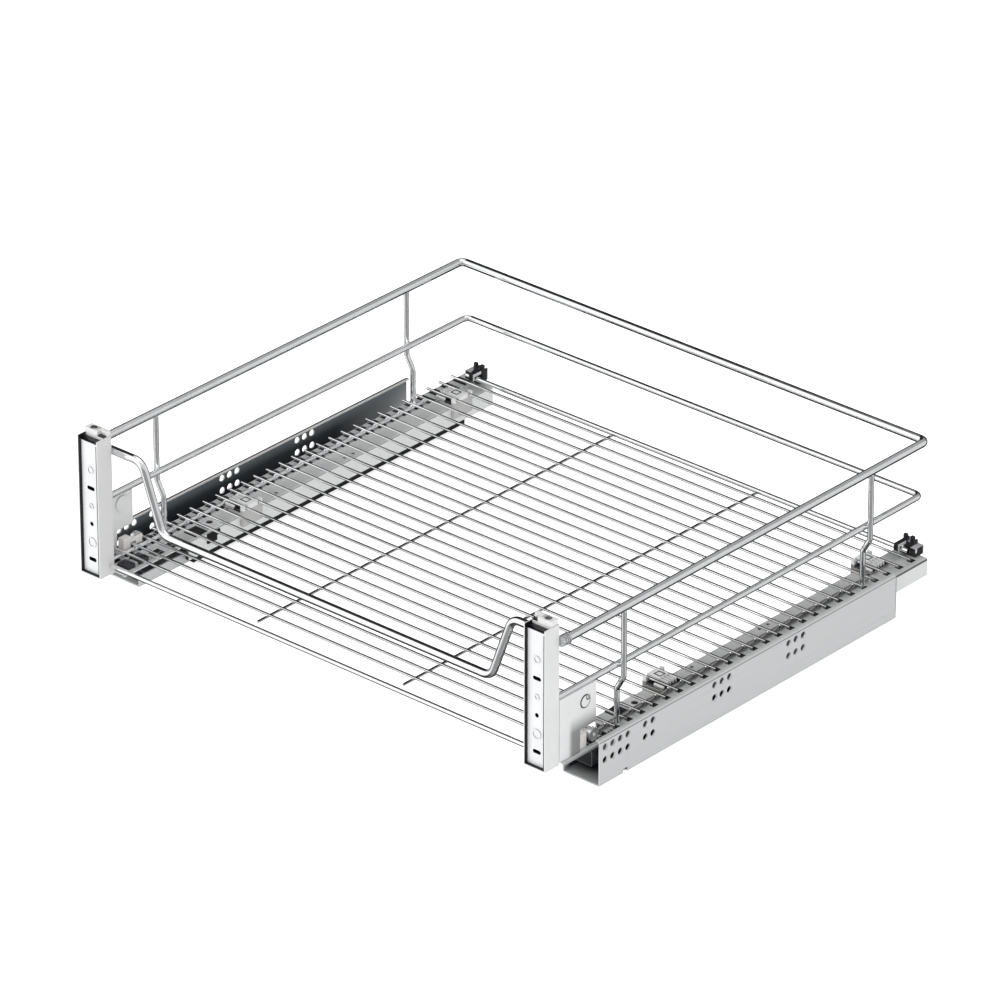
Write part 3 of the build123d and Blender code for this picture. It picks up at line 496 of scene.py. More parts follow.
def rail_zinc(side: Side) -> Finish:
    """Gives the drawer rail's zinc with painted light and shade on its skirts and painted black shade
    dashes between the wires.

    Args:
        side: Which rail it is for.

    Returns:
        The finish.
    """
    inner, outer, half = RAIL_SHADE_DASHES[side]
    skirt = facing("X", side.value)
    inner_skirt = (facing("X", -side.value), beyond("X", side.x(232), -side.value))
    gaps = (
        facing("Z", 1), beyond("X", side.x(inner), side.value), beyond("X", side.x(outer), -side.value),
        Window("Object", "Y", mm(half), mm(half - 0.4), back(46.6), mm(WIRE_PITCH)),
    )
    rear_line = (skirt, beyond("Z", mm(26.6), 1, SHARP_EDGE), beyond("Y", back(432)))
    return Finish(
        f"rail_zinc_{side.label}", "zinc_sheet", (0.57, 0.58, 0.58), (0.63, 0.64, 0.64), **ROLLED_ZINC,
        marks=(
            # Painted light on the outer skirt, painted shade on its front part that lies in the channel,
            # and a painted shadow line at its rear top.
            Mark((skirt,), (0.76, 0.77, 0.77)),
            Mark((skirt, beyond("Y", back(436), -1, 0.004)), (0.38, 0.385, 0.39)),
            Mark(rear_line, grey(0.08)),
            # Painted light on the inner skirt, with a painted shadow line at its top.
            Mark(inner_skirt, (0.74, 0.75, 0.75)),
            Mark((*inner_skirt, beyond("Z", mm(25.6), 1, SHARP_EDGE)), grey(0.30)),
            # Painted black shade dashes between the wires on the rail top.
            Mark(gaps, BLACK_SHADE),
        ),
    )


PROFILE_ZINC = {side: profile_zinc(side) for side in Side}
RAIL_ZINC = {side: rail_zinc(side) for side in Side}
PAD_ZINC = Finish("pad_zinc", "zinc_sheet", (0.74, 0.74, 0.75), (0.80, 0.80, 0.81), **ROLLED_ZINC)
# Painted shade: a darker copy of the zinc for the intermediate rail, darker still at its front end.
SHADED_MIDDLE_ZINC = Finish(
    "shaded_middle_zinc", "zinc_sheet", (0.24, 0.245, 0.25), (0.30, 0.305, 0.31), **ROLLED_ZINC,
    marks=(Mark((beyond("Y", back(100), -1, 0.03),), (0.055, 0.06, 0.065)),),
)
COAT = dict(
    metallic=0.0, gloss=(0.28, 0.38), grain=even(35), cloud=even(60), texture=even(1400),
    relief=0.00001, coat=0.2,
)
POST_COAT = {
    side: Finish(
        f"post_coat_{side.label}", "post_coat", (0.685, 0.69, 0.695), (0.725, 0.73, 0.735), **COAT,
        marks=(
            # Painted shade on the post's side face turned to the drawer's middle, lighter upwards.
            Mark((facing("X", -side.value),), grey(0.615), grey(0.68), (0.03, 0.16)),
            # Painted black shade on the faces inside the hollow post.
            Mark((facing("Y", -1), beyond("Y", back(8))), BLACK_SHADE),
            Mark((facing("X", side.value), beyond("X", side.x(242), -side.value)), BLACK_SHADE),
            Mark((facing("X", -side.value), beyond("X", side.x(260), side.value)), BLACK_SHADE),
        ),
    )
    for side in Side
}
FOOT_SHADE = (beyond("Z", mm(64), -1, 0.014), beyond("Y", back(29), 1, 0.005))
PLATE_SHADE = {
    side: Finish(
        f"bracket_coat_{side.label}", "post_coat", (0.70, 0.705, 0.71), (0.74, 0.745, 0.75), **COAT,
        marks=(Mark((facing("X", side.value), *FOOT_SHADE), grey(0.26)),),
    )
    for side in Side
}
PLATE_COAT = Finish(
    "plate_coat", "plate_coat", (0.76, 0.77, 0.78), (0.80, 0.81, 0.82), 0.0, (0.40, 0.52),
    even(45), even(70), even(1800), 0.00001,
    marks=(
        # Painted shade on front faces set deeper than the plate's face, and painted black shade on every
        # face not turned to the front.
        Mark((facing("Y", -1), beyond("Y", back(3.5), 1, 0.0001)), (0.30, 0.31, 0.32)),
        Mark((Window("Normal", "Y", -0.9, -0.5),), BLACK_SHADE),
    ),
)
SEAL_RUBBER = Finish(
    "seal_rubber", "seal_rubber", (0.004, 0.004, 0.005), (0.008, 0.008, 0.009), 0.0, (0.65, 0.85),
    even(220), even(120), even(1500), 0.00003,
)
CAP_WHITE = Finish(
    "cap_white", "post_coat", (0.74, 0.74, 0.73), (0.82, 0.82, 0.81), 0.0, (0.30, 0.42),
    even(260), even(90), even(1100), 0.00002,
)
CAST_ZINC = Finish(
    "cast_zinc", "cast_zinc", (0.50, 0.51, 0.52), (0.66, 0.67, 0.68), 0.7, (0.24, 0.38),
    even(260), even(90), even(1100), 0.00004,
)
SCREW_STEEL = Finish(
    "screw_steel", "screw_steel", (0.42, 0.43, 0.45), (0.62, 0.63, 0.65), 0.9, (0.22, 0.36),
    even(500), even(150), even(1600), 0.00002,
)
ROLLER_STEEL = Finish(
    "roller_steel", "roller_steel", (0.60, 0.60, 0.61), (0.74, 0.74, 0.75), 1.0, (0.14, 0.24),
    (40, 900, 900), even(120), (40, 2600, 2600), 0.000008,
)
BLACK_PLASTIC = MouldedPlastic(
    "black_plastic", "black_plastic", (0.006, 0.006, 0.008), (0.014, 0.014, 0.018), 0.0, (0.24, 0.36),
    even(180), even(80), even(2400), 0.00001,
)
# Painted highlights on the black hooks: a light step face, light low upward faces and a light rear edge.
HOOK_STEP = (facing("X", 1), beyond("Y", back(488.5), -1, SHARP_EDGE), beyond("Z", mm(33), 1, SHARP_EDGE))
HOOK_PLASTIC = replace(
    BLACK_PLASTIC, name="hook_plastic", dark=(0.005, 0.005, 0.007), light=(0.010, 0.010, 0.014),
    gloss=(0.30, 0.42),
    marks=(
        Mark((facing("Z", 1), beyond("Z", mm(39.5), -1)), (0.42, 0.42, 0.43)),
        Mark((facing("X", 1), beyond("Y", back(496.4), 1, SHARP_EDGE)), (0.70, 0.70, 0.71)),
        Mark(HOOK_STEP, (0.60, 0.60, 0.61)),
    ),
)
# Matte black for the side guide, the skirt catch and the black forms by the rail's hole; the guide and
# these forms stand in for shade.
MATTE_BLACK_AND_SHADE = replace(
    BLACK_PLASTIC, name="matte_black_and_shade", dark=(0.003, 0.003, 0.004), light=(0.006, 0.006, 0.007),
    gloss=(0.75, 0.90), relief=0.00002,
)
# Painted shade on the clips' sides below the deck top, less dark on the left clips than on the right ones.
CLIP_SIDE_SHADE = (Window("Normal", "Z", 0.7, 0.3), beyond("Z", mm(32.4), -1, 0.0004))
PALE_PLASTIC = MouldedPlastic(
    "pale_plastic", "pale_plastic", (0.70, 0.71, 0.70), (0.78, 0.79, 0.78), 0.0, (0.32, 0.46),
    even(140), even(80), even(2400), 0.00001,
    marks=(
        Mark(CLIP_SIDE_SHADE, (0.20, 0.20, 0.19)),
        Mark((*CLIP_SIDE_SHADE, beyond("X", 0.0, -1)), (0.44, 0.44, 0.43)),
    ),
)
WHITE_PLASTIC = MouldedPlastic(
    "white_plastic", "white_plastic", (0.82, 0.79, 0.77), (0.90, 0.88, 0.86), 0.0, (0.26, 0.38),
    even(120), even(80), even(2400), 0.000008, 0.15,
)
DAMPER_PLASTIC = MouldedPlastic(
    "damper_plastic", "damper_plastic", (0.09, 0.09, 0.095), (0.14, 0.14, 0.145), 0.0, (0.36, 0.50),
    even(160), even(80), even(2200), 0.00002,
)


class PaintShop:
    """Keeps one material for each finish and puts it on pieces."""

    def __init__(self) -> None:
        """Starts with no material made."""
        self.made: dict[str, bpy.types.Material] = {}

    def material(self, finish: Finish) -> bpy.types.Material:
        """Gives the one material of a finish."""
        if finish.name not in self.made:
            self.made[finish.name] = finish.material()
        return self.made[finish.name]

    def dress(self, names: Iterable[str], finish: Finish, edge: float = 0.0) -> None:
        """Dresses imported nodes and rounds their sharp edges.

        Args:
            names: Names of the nodes.
            finish: The finish they get.
            edge: Width of the rounding in millimetres, or 0 for none.
        """
        for name in names:
            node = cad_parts[name]
            node.data.materials.clear()
            node.data.materials.append(self.material(finish))
            if edge:
                round_edges(node, edge)
            LOG.info("node %s gets %s", name, finish.name)


def round_edges(piece: bpy.types.Object, width: float) -> None:
    """Rounds a piece's sharp edges with modifiers.

    Args:
        piece: Mesh object.
        width: Width of the rounding in millimetres.
    """
    weld = piece.modifiers.new("join_seams", "WELD")
    weld.merge_threshold = mm(SEAM_REACH)
    flat = piece.modifiers.new("join_facets", "DECIMATE")
    flat.decimate_type = "DISSOLVE"
    flat.angle_limit = FACET_ANGLE
    bevel = piece.modifiers.new("round_edges", "BEVEL")
    bevel.width = mm(width)
    bevel.segments = ROUNDING_STEPS
    bevel.limit_method = "ANGLE"
    bevel.angle_limit = EDGE_ANGLE
    bevel.harden_normals = True


@dataclass(frozen=True)
class Block:
    """A rounded block, in millimetres.

    Attributes:
        use: What it is on the piece.
        x: Its limits across the cabinet, from the drawer's middle.
        setback: Its limits from front to back.
        z: Its limits in height.
        edge: Width of its rounding, or 0 for none.
        tone: Number of its finish in the piece's list.
    """

    use: str
    x: Span
    setback: Span
    z: Span
    edge: float = 0.25
    tone: int = 0

    def row(self, count: int, pitch: float) -> tuple["Block", ...]:
        """Gives copies of the block, each a pitch farther back than the one before."""
        shifts = [pitch * index for index in range(count)]
        return tuple(replace(self, setback=tuple(end + shift for end in self.setback)) for shift in shifts)


class Bench:
    """Gathers rounded forms in one mesh and hands them over as a piece.

    Points are (x, setback, z) in millimetres, with X laid off to the bench's side.

    Attributes:
        shop: Where the finishes come from.
        side: Side of the drawer.
    """

    def __init__(self, shop: PaintShop, side: Side = Side.RIGHT) -> None:
        """Starts an empty mesh."""
        self.shop, self.side = shop, side
        self.form = bmesh.new()

    def point(self, x: float, setback: float, z: float) -> Vector:
        """Gives a point of this side in metres."""
        return Vector((self.side.x(x), back(setback), mm(z)))

    def settle(
        self, faces: Iterable[bmesh.types.BMFace], edges: Iterable[bmesh.types.BMEdge] = (),
        round_by: float = 0.0, tone: int = 0,
    ) -> None:
        """Gives a form that was just made its finish and rounds it.

        Args:
            faces: Faces of the form.
            edges: Its edges that are rounded.
            round_by: Width of the rounding in millimetres, or 0 for none.
            tone: Number of the finish in the piece's list.
        """
        for face in faces:
            face.material_index = tone
        if round_by:
            bmesh.ops.bevel(
                self.form, geom=list(edges), offset=mm(round_by), segments=ROUNDING_STEPS,
                profile=ROUNDING_SHAPE, affect="EDGES", material=tone,
            )

    def box(self, block: Block, shift: float = 0.0) -> None:
        """Adds a block.

        Args:
            block: The block.
            shift: Distance by which it lies farther back.
        """
        LOG.debug("block %s", block.use)
        corners = zip(block.x, block.setback, block.z)
        first, second = (self.point(x, setback + shift, z) for x, setback, z in corners)
        size = Matrix.Diagonal([abs(length) for length in second - first]).to_4x4()
        place = Matrix.Translation((first + second) / 2) @ size
        made = bmesh.ops.create_cube(self.form, size=1.0, matrix=place)["verts"]
        edges = {edge for vert in made for edge in vert.link_edges}
        self.settle({face for vert in made for face in vert.link_faces}, edges, block.edge, block.tone)

    def drum(self, start: Point, end: Point, radius: float, round_by: float = 0.2, tone: int = 0) -> None:
        """Adds a round drum between two points.

        Args:
            start: Middle of the first end.
            end: Middle of the other end.
            radius: Radius in millimetres.
            round_by: Width of the rims' rounding in millimetres.
            tone: Number of the finish in the piece's list.
        """
        first, second = self.point(*start), self.point(*end)
        axis = second - first
        turn = axis.to_track_quat("Z", "Y").to_matrix().to_4x4()
        place = Matrix.Translation((first + second) / 2) @ turn
        made = bmesh.ops.create_cone(
            self.form, cap_ends=True, segments=DRUM_SIDES, radius1=mm(radius), radius2=mm(radius),
            depth=axis.length, matrix=place,
        )["verts"]
        faces = {face for vert in made for face in vert.link_faces}
        rims = {edge for face in faces if len(face.verts) > 4 for edge in face.edges}
        self.settle(faces, rims, round_by, tone)

    def band(
        self, first: list[bmesh.types.BMVert], second: list[bmesh.types.BMVert]
    ) -> list[bmesh.types.BMFace]:
        """Adds the faces between two closed rows of as many points each, and gives them back."""
        corners = zip(first, first[1:] + first[:1], second[1:] + second[:1], second)
        return [self.form.faces.new(four) for four in corners]

    def prism(self, outline: Sequence[Span], inner: float, outer: float) -> None:
        """Adds an outline of (setback, z) points drawn out along X, from inner to outer."""
        ends = [[self.form.verts.new(self.point(x, *spot)) for spot in outline] for x in (inner, outer)]
        self.settle([self.form.faces.new(verts) for verts in ends] + self.band(*ends))

    def pierced(self, plate: Block, hole: Span, radius: float) -> None:
        """Adds a flat plate with a round hole.

        Args:
            plate: The plate.
            hole: X and setback of the hole's middle.
            radius: Radius of the hole in millimetres.
        """
        turns = [2 * math.pi * (index + 0.5) / HOLE_SIDES for index in range(HOLE_SIDES)]
        ways = [(math.cos(turn), math.sin(turn)) for turn in turns]
        rim = [
            min((plate.x[run > 0] - hole[0]) / run, (plate.setback[rise > 0] - hole[1]) / rise)
            for run, rise in ways
        ]
        inside = [radius] * HOLE_SIDES
        low, high = plate.z
        layers = ((rim, low), (rim, high), (inside, high), (inside, low))
        rows = [
            [
                self.form.verts.new(self.point(hole[0] + run * reach, hole[1] + rise * reach, height))
                for (run, rise), reach in zip(ways, reaches)
            ]
            for reaches, height in layers
        ]
        self.settle([face for pair in zip(rows, rows[1:] + rows[:1]) for face in self.band(*pair)])

    def nugget(self, centre: Point, size: Point) -> None:
        """Adds a small rounded lump.

        Args:
            centre: Its middle.
            size: Its half sizes in millimetres.
        """
        scale = Matrix.Diagonal([mm(half) for half in size]).to_4x4()
        place = Matrix.Translation(self.point(*centre)) @ scale
        made = bmesh.ops.create_icosphere(self.form, subdivisions=2, radius=1.0, matrix=place)["verts"]
        self.settle({face for vert in made for face in vert.link_faces})

    def piece(
        self, name: str, body: str, finishes: Sequence[Finish], replaces: Sequence[str] = ()
    ) -> None:
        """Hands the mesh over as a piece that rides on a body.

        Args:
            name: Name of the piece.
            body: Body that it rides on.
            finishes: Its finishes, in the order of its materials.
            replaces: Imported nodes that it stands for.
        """
        bmesh.ops.recalc_face_normals(self.form, faces=self.form.faces)
        mesh = bpy.data.meshes.new(name)
        self.form.to_mesh(mesh)
        self.form.free()
        mesh.shade_smooth()
        mesh.set_sharp_from_angle(angle=SMOOTH_ANGLE)
        for finish in finishes:
            mesh.materials.append(self.shop.material(finish))
        piece = bpy.data.objects.new(name, mesh)
        bpy.context.scene.collection.objects.link(piece)
        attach(piece, body)
        if replaces:
            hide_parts(*replaces)
        LOG.info("piece %s rides on %s", name, body)


@dataclass
class WireBasket:
    """Welded basket of bright wire.

    Attributes:
        shop: Where the finishes come from.
        bright: Nodes of plain bright wire.
        wire_first: Setback of the first floor wire in millimetres.
        wire_count: Number of floor wires.
        base_end: Setback at which the base wires' welds end.
        rear_bar: Setback of the rear floor bar.
        seat: Height at which floor wires lie on the wires below.
        base_x: Distance of the base wires from the middle.
        support_x: Distance of the support wires from the middle.
        weld: Half sizes of a weld between thin wires.
        uprights: Setbacks of the uprights.
        upright_welds: X, height and half sizes of an upright's welds, from the top down.
    """

    shop: PaintShop
    bright: tuple[str, ...] = (
        "top_rail", "mid_rail", "front_rail", "upright_front_left", "upright_front_right",
        "upright_rear_left", "upright_rear_right", "base_wire_left",
    )
    wire_first: float = 39.6
    wire_count: int = 28
    base_end: float = 428.0
    rear_bar: float = 482.5
    seat: float = 33.08
    base_x: float = 251.4
    support_x: float = 82.3
    weld: Point = (1.5, 1.5, 0.75)
    uprights: Span = (96.6, 415.7)
    upright_welds: tuple[tuple[float, float, Point], ...] = (
        (263.2, 138.25, (2.3, 2.6, 0.9)),
        (260.8, 88.0, (0.9, 2.2, 2.0)),
        (253.5, 31.1, (0.9, 2.2, 1.9)),
    )

    def welds(self) -> None:
        """Adds the weld nuggets where wires cross."""
        bench = Bench(self.shop)
        for way in (-1, 1):
            for index in range(self.wire_count):
                setback = self.wire_first + WIRE_PITCH * index
                bench.nugget((way * self.support_x, setback, self.seat), self.weld)
                if setback < self.base_end:
                    bench.nugget((way * self.base_x, setback, self.seat), self.weld)
            bench.nugget((way * self.support_x, self.rear_bar, self.seat), self.weld)
            for setback in self.uprights:
                for x, height, size in self.upright_welds:
                    bench.nugget((way * x, setback, height), size)
        bench.piece("weld_nuggets", "drawer", [CHROME])

    def build(self) -> None:
        """Plates the basket's wires and adds its welds."""
        self.shop.dress(self.bright, CHROME)
        self.shop.dress(["front_floor_bar", "rear_floor_bar"], BAR_CHROME)
        self.shop.dress(["floor_wires"], FLOOR_CHROME)
        # Painted shade: the right base wire is darker than the left one.
        self.shop.dress(["base_wire_right"], SHADED_CHROME)
        self.shop.dress(["support_wires"], SUPPORT_CHROME)
        self.welds()


@dataclass
class PairedAssembly:
    """A sub-assembly that is there on each side of the drawer.

    Attributes:
        shop: Where the finishes come from.
        side: Which side it is on.
    """

    shop: PaintShop
    side: Side

    def dress(self, finish: Finish, *stems: str, edge: float = 0.0) -> None:
        """Dresses this side's nodes and rounds their edges by so many millimetres."""
        self.shop.dress([self.side.node(stem) for stem in stems], finish, edge)

    def lay(self, name: str, blocks: Iterable[Block], *finishes: Finish) -> None:
        """Builds blocks as one piece of the drawer.

        Args:
            name: Name of the piece, without its side.
            blocks: The blocks.
            finishes: Finishes of the piece.
        """
        bench = Bench(self.shop, self.side)
        for block in blocks:
            bench.box(block)
        bench.piece(self.side.node(name), "drawer", finishes)


@dataclass
class FrontPost(PairedAssembly):
    """Post with its inset plate, seal, adjuster block and rail ferrule.

    Attributes:
        edge: Rounding of the post's folded edges in millimetres.
        cap_edge: Rounding of the adjuster block.
        insert: Black insert behind the plate's top, and the dark lines of the cap.
        lip: The seal's lip, on each post's right edge.
    """

    edge: float = 0.3
    cap_edge: float = 0.25
    insert: tuple[Block, ...] = (
        Block("insert", (240.3, 261.0), (5.45, 8.9), (138.0, 155.5)),
        Block("slit under the cap", (240.3, 246.4), (9.2, 12.8), (158.1, 159.4)),
        *(
            Block("line on the cap", (x, x + 0.5), (11.2, 16.4), (162.9, 163.1), 0.0)
            for x in (249.2, 250.7, 252.2)
        ),
    )
    lip: ClassVar[dict[Side, Block]] = {
        Side.LEFT: Block("inner lip", (240.6, 241.4), (0.5, 3.35), (28.6, 153.0), 0.15),
        Side.RIGHT: Block("outer lip", (259.9, 260.7), (0.5, 3.35), (28.6, 153.0), 0.15),
    }

    def build(self) -> None:
        """Dresses the post's nodes and adds the insert and the seal's lip."""
        self.dress(POST_COAT[self.side], "post_cover", edge=self.edge)
        self.dress(PLATE_COAT, "front_plate")
        self.dress(SEAL_RUBBER, "edge_seal")
        self.dress(CAP_WHITE, "top_block", edge=self.cap_edge)
        self.dress(CAST_ZINC, "rail_connector")
        self.lay("post_top_insert", self.insert, BLACK_PLASTIC)
        self.lay("seal_lip", [self.lip[self.side]], SEAL_RUBBER)


def arc(centre: Span, radius: float, start: float, end: float) -> list[Span]:
    """Gives points along an arc between two angles in radians."""
    turns = [start + (end - start) * index / ARC_STEPS for index in range(ARC_STEPS + 1)]
    return [(centre[0] + radius * math.cos(turn), centre[1] + radius * math.sin(turn)) for turn in turns]


def half_angle(near: float, far: float, reach: float) -> float:
    """Gives half the angle of two circles' crossing, seen from the middle of the near one."""
    return math.acos((near**2 + reach**2 - far**2) / (2 * near * reach))


@dataclass
class SideBracket(PairedAssembly):
    """Gusset plate with its cam, wheel and wheel holder.

    Attributes:
        cam: Setback and height of the cam's middle in millimetres.
        cam_radius: Radius of the cam's round face.
        flange: Radius of the flange behind the plate.
        crescent: Radius of the raised crescent on the face.
        bite: Direction of the crescent's bite in degrees, its distance and its radius.
        groove: Width of the groove round the crescent, whose floor is painted black as shade.
        layers: X of the flange's back, the flange's front, the groove's floor and the face.
        sink: Depth by which raised forms reach into what is under them.
        holder_edge: Rounding of the wheel holder.
    """

    cam: Span = (49.8, 73.6)
    cam_radius: float = 6.15
    flange: float = 7.3
    crescent: float = 5.05
    bite: tuple[float, float, float] = (42.0, 4.6, 2.9)
    groove: float = 1.1
    layers: tuple[float, float, float, float] = (259.55, 260.7, 262.5, 262.8)
    sink: float = 0.1
    holder_edge: float = 0.3

    def cam_face(self) -> None:
        """Builds the cam with its raised crescent in a groove painted black as shade."""
        bench = Bench(self.shop, self.side)
        setback, height = self.cam
        rear, front, floor, face = self.layers
        bench.drum((rear, setback, height), (front, setback, height), self.flange)
        # Painted shade: the cam body under the crescent takes the black rubber, so the groove reads dark.
        bench.drum((front, setback, height), (floor, setback, height), self.cam_radius, 0.0, 1)
        degrees, reach, hole = self.bite
        turn, behind = math.radians(degrees), math.radians(degrees) + math.pi
        spot = (setback + reach * math.cos(turn), height + reach * math.sin(turn))
        seen, opening = half_angle(self.crescent, hole, reach), half_angle(hole, self.crescent, reach)
        outline = arc(self.cam, self.crescent, turn + seen, turn + 2 * math.pi - seen)
        outline += arc(spot, hole, behind + opening, behind - opening)[1:-1]
        bench.prism(outline, floor - self.sink, face)
        small = hole - self.groove
        seen, opening = half_angle(self.cam_radius, small, reach), half_angle(small, self.cam_radius, reach)
        filler = arc(self.cam, self.cam_radius, turn - seen, turn + seen)
        filler += arc(spot, small, behind - opening, behind + opening)[1:-1][::-1]
        bench.prism(filler, floor - self.sink, face - self.sink)
        bench.piece(
            self.side.node("cam_face"), self.side.node("tilt_cam"),
            [PLATE_SHADE[self.side], SEAL_RUBBER], [self.side.node("tilt_cam")],
        )

    def build(self) -> None:
        """Dresses the bracket's nodes and builds its cam."""
        self.dress(PLATE_SHADE[self.side], "side_plate")
        self.dress(CAST_ZINC, "height_wheel")
        self.dress(WHITE_PLASTIC, "wheel_holder", edge=self.holder_edge)
        self.cam_face()


@dataclass
class BasketClips:
    """Clips that hold the basket's floor wires on the drawer rails.

    The blocks' setbacks count from a clip's middle. Two floor wires pass through
    the gaps of 3.2 mm between the teeth.

    Attributes:
        shop: Where the finishes come from.
        middles: Setbacks of the clips' middles in millimetres.
        body: Blocks of a clip's pale body.
        spring: Blocks of its black spring and of the ring on its roof.
    """

    shop: PaintShop
    middles: Span = (176.07, 449.0)
    body: tuple[Block, ...] = (
        Block("inner wall", (226.0, 229.9), (-12.0, 12.0), (17.0, 32.7)),
        Block("deck", (229.6, 244.6), (-12.0, 12.0), (27.1, 29.4)),
        Block("outer step", (244.4, 248.5), (-12.0, 12.0), (29.1, 30.2)),
        Block("middle tooth", (226.0, 229.9), (-6.43, 6.43), (32.2, 36.6)),
        *Block("end tooth", (226.0, 229.9), (-12.0, -9.63), (32.2, 36.6)).row(2, 21.63),
        Block("roof", (229.7, 239.6), (-6.43, 6.43), (34.2, 36.6)),
        *Block("rib", (239.4, 248.5), (-5.8, -4.6), (31.4, 36.0)).row(4, 3.4),
        *Block("lug", (238.0, 248.5), (-11.7, -9.9), (30.0, 33.6)).row(2, 21.6),
    )
    spring: tuple[Block, ...] = (
        *Block("cross bar of the ring", (230.8, 238.4), (-3.6, -2.4), (36.4, 36.75), 0.05).row(2, 6.0),
        Block("inner bar of the ring", (230.8, 231.8), (-3.6, 3.6), (36.4, 36.75), 0.05),
        Block("outer bar of the ring", (237.4, 238.4), (-3.6, 3.6), (36.4, 36.75), 0.05),
        Block("spring", (230.1, 248.0), (-11.6, 11.6), (29.2, 31.6)),
        Block("raised leaf", (240.0, 247.6), (-6.13, 6.13), (31.5, 33.0)),
    )

    def build(self) -> None:
        """Builds all four clips as one pale and one black piece."""
        pale, black = Bench(self.shop), Bench(self.shop)
        for side in Side:
            pale.side = black.side = side
            for middle in self.middles:
                for block in self.body:
                    pale.box(block, middle)
                for block in self.spring:
                    black.box(block, middle)
        pale.piece("clip_bodies", "drawer", [PALE_PLASTIC], ["basket_clips"])
        black.piece("clip_springs", "drawer", [BLACK_PLASTIC])


@dataclass
class Slide(PairedAssembly):
    """Concealed slide under one side of the basket.

    Attributes:
        hook_edge: Rounding of the rear hook in millimetres.
        hole: X and setback of the round hole in the drawer rail.
        hole_radius: Radius of the hole in the pad over it.
        pad: Raised pad round the hole.
        hole_shade_drum: Bottom, top and radius of the black drum below the hole, standing in for shade in
            it.
        pad_shadow: Black block in front of the pad, standing in for the pad's shadow.
        latch: Blocks of the latch behind the post.
        teeth: Small teeth along the rail's front edge.
    """

    hook_edge: float = 0.35
    hole: Span = (241.0, 137.0)
    hole_radius: float = 3.2
    pad: Block = Block("pad", (231.4, 245.6), (126.5, 148.0), (26.95, 28.0))
    # Painted shade: a black drum below the hole and a black block in front of the pad.
    hole_shade_drum: Point = (25.0, 27.3, 2.95)
    pad_shadow: Block = Block("pad_shadow", (231.4, 245.6), (109.5, 124.5), (26.95, 27.6), 0.1, 1)
    latch: tuple[Block, ...] = (
        Block("front block", (233.0, 245.4), (27.0, 37.0), (26.95, 30.6), 0.5),
        Block("rear block", (233.0, 245.4), (42.0, 53.5), (26.95, 30.6), 0.5),
        Block("bridge", (235.0, 243.4), (36.0, 43.0), (26.95, 29.0), 0.3, 1),
        Block("cross strip", (226.5, 243.0), (57.5, 60.2), (27.0, 27.9), 0.2, 1),
    )
    teeth: tuple[Block, ...] = Block("tooth", (257.6, 260.2), (42.0, 43.7), (28.95, 29.5), 0.1).row(15, 3.4)

    def rail_pad(self) -> None:
        """Adds the raised pad round the rail's hole, with a black drum below the hole as painted shade and
        a black block in front of the pad as its painted shadow.
        """
        bench = Bench(self.shop, self.side)
        bench.pierced(self.pad, self.hole, self.hole_radius)
        bottom, top, radius = self.hole_shade_drum
        bench.drum((*self.hole, bottom), (*self.hole, top), radius, tone=1)
        bench.box(self.pad_shadow)
        bench.piece(self.side.node("rail_pad"), "drawer", [PAD_ZINC, MATTE_BLACK_AND_SHADE])

    def build(self) -> None:
        """Dresses the slide's nodes and adds the rail's small forms."""
        self.dress(PROFILE_ZINC[self.side], "cabinet_profile")
        self.dress(RAIL_ZINC[self.side], "drawer_rail")
        # Painted shade: the intermediate rail takes a darker copy of the zinc.
        self.dress(SHADED_MIDDLE_ZINC, "intermediate_rail")
        self.dress(BLACK_PLASTIC, "lower_cage", "upper_cage")
        # Painted shade: the side guide is a black strip where the rail's inner edge lies in shade.
        self.dress(MATTE_BLACK_AND_SHADE, "side_guide", "skirt_catch")
        self.dress(HOOK_PLASTIC, "rear_hook", edge=self.hook_edge)
        self.dress(ROLLER_STEEL, "lower_rollers", "upper_rollers", "damper_spring", "damper_plunger")
        self.dress(DAMPER_PLASTIC, "damper_housing")
        self.rail_pad()
        self.lay("rail_latch", self.latch, BLACK_PLASTIC, RAIL_ZINC[self.side])
        self.lay("rail_rack", self.teeth, BLACK_PLASTIC)


def flat(shade: float) -> tuple[Span, Span]:
    """Gives the same brightness at every height of the room."""
    return ((-1.0, shade), (1.0, shade))


@dataclass(frozen=True)
class RoomPatch:
    """A part of the room round the drawer, as bright or dark as its walls are.

    Attributes:
        levels: Brightness by the height of the direction, from -1 to 1.
        direction: Middle of the patch.
        turn: Where along that direction the patch begins and is full.
    """

    levels: tuple[Span, ...]
    direction: Point = (0.0, 0.0, 1.0)
    turn: Span = (-1.0, -0.99)

    def shade(self, sheet: NodeSheet, height: Socket) -> Socket:
        """Gives the patch's brightness by the direction's height, from 0 to 1."""
        stops = [((position + 1) / 2, grey(level)) for position, level in self.levels]
        return sheet.ramp(height, stops)

    def share(self, sheet: NodeSheet) -> Socket:
        """Gives how much of the patch lies in a direction, from 0 to 1."""
        along = sheet.toward(Vector(self.direction).normalized())
        return sheet.span(along, (self.turn[0], 0.0), (self.turn[1], 1.0), "SMOOTHSTEP")


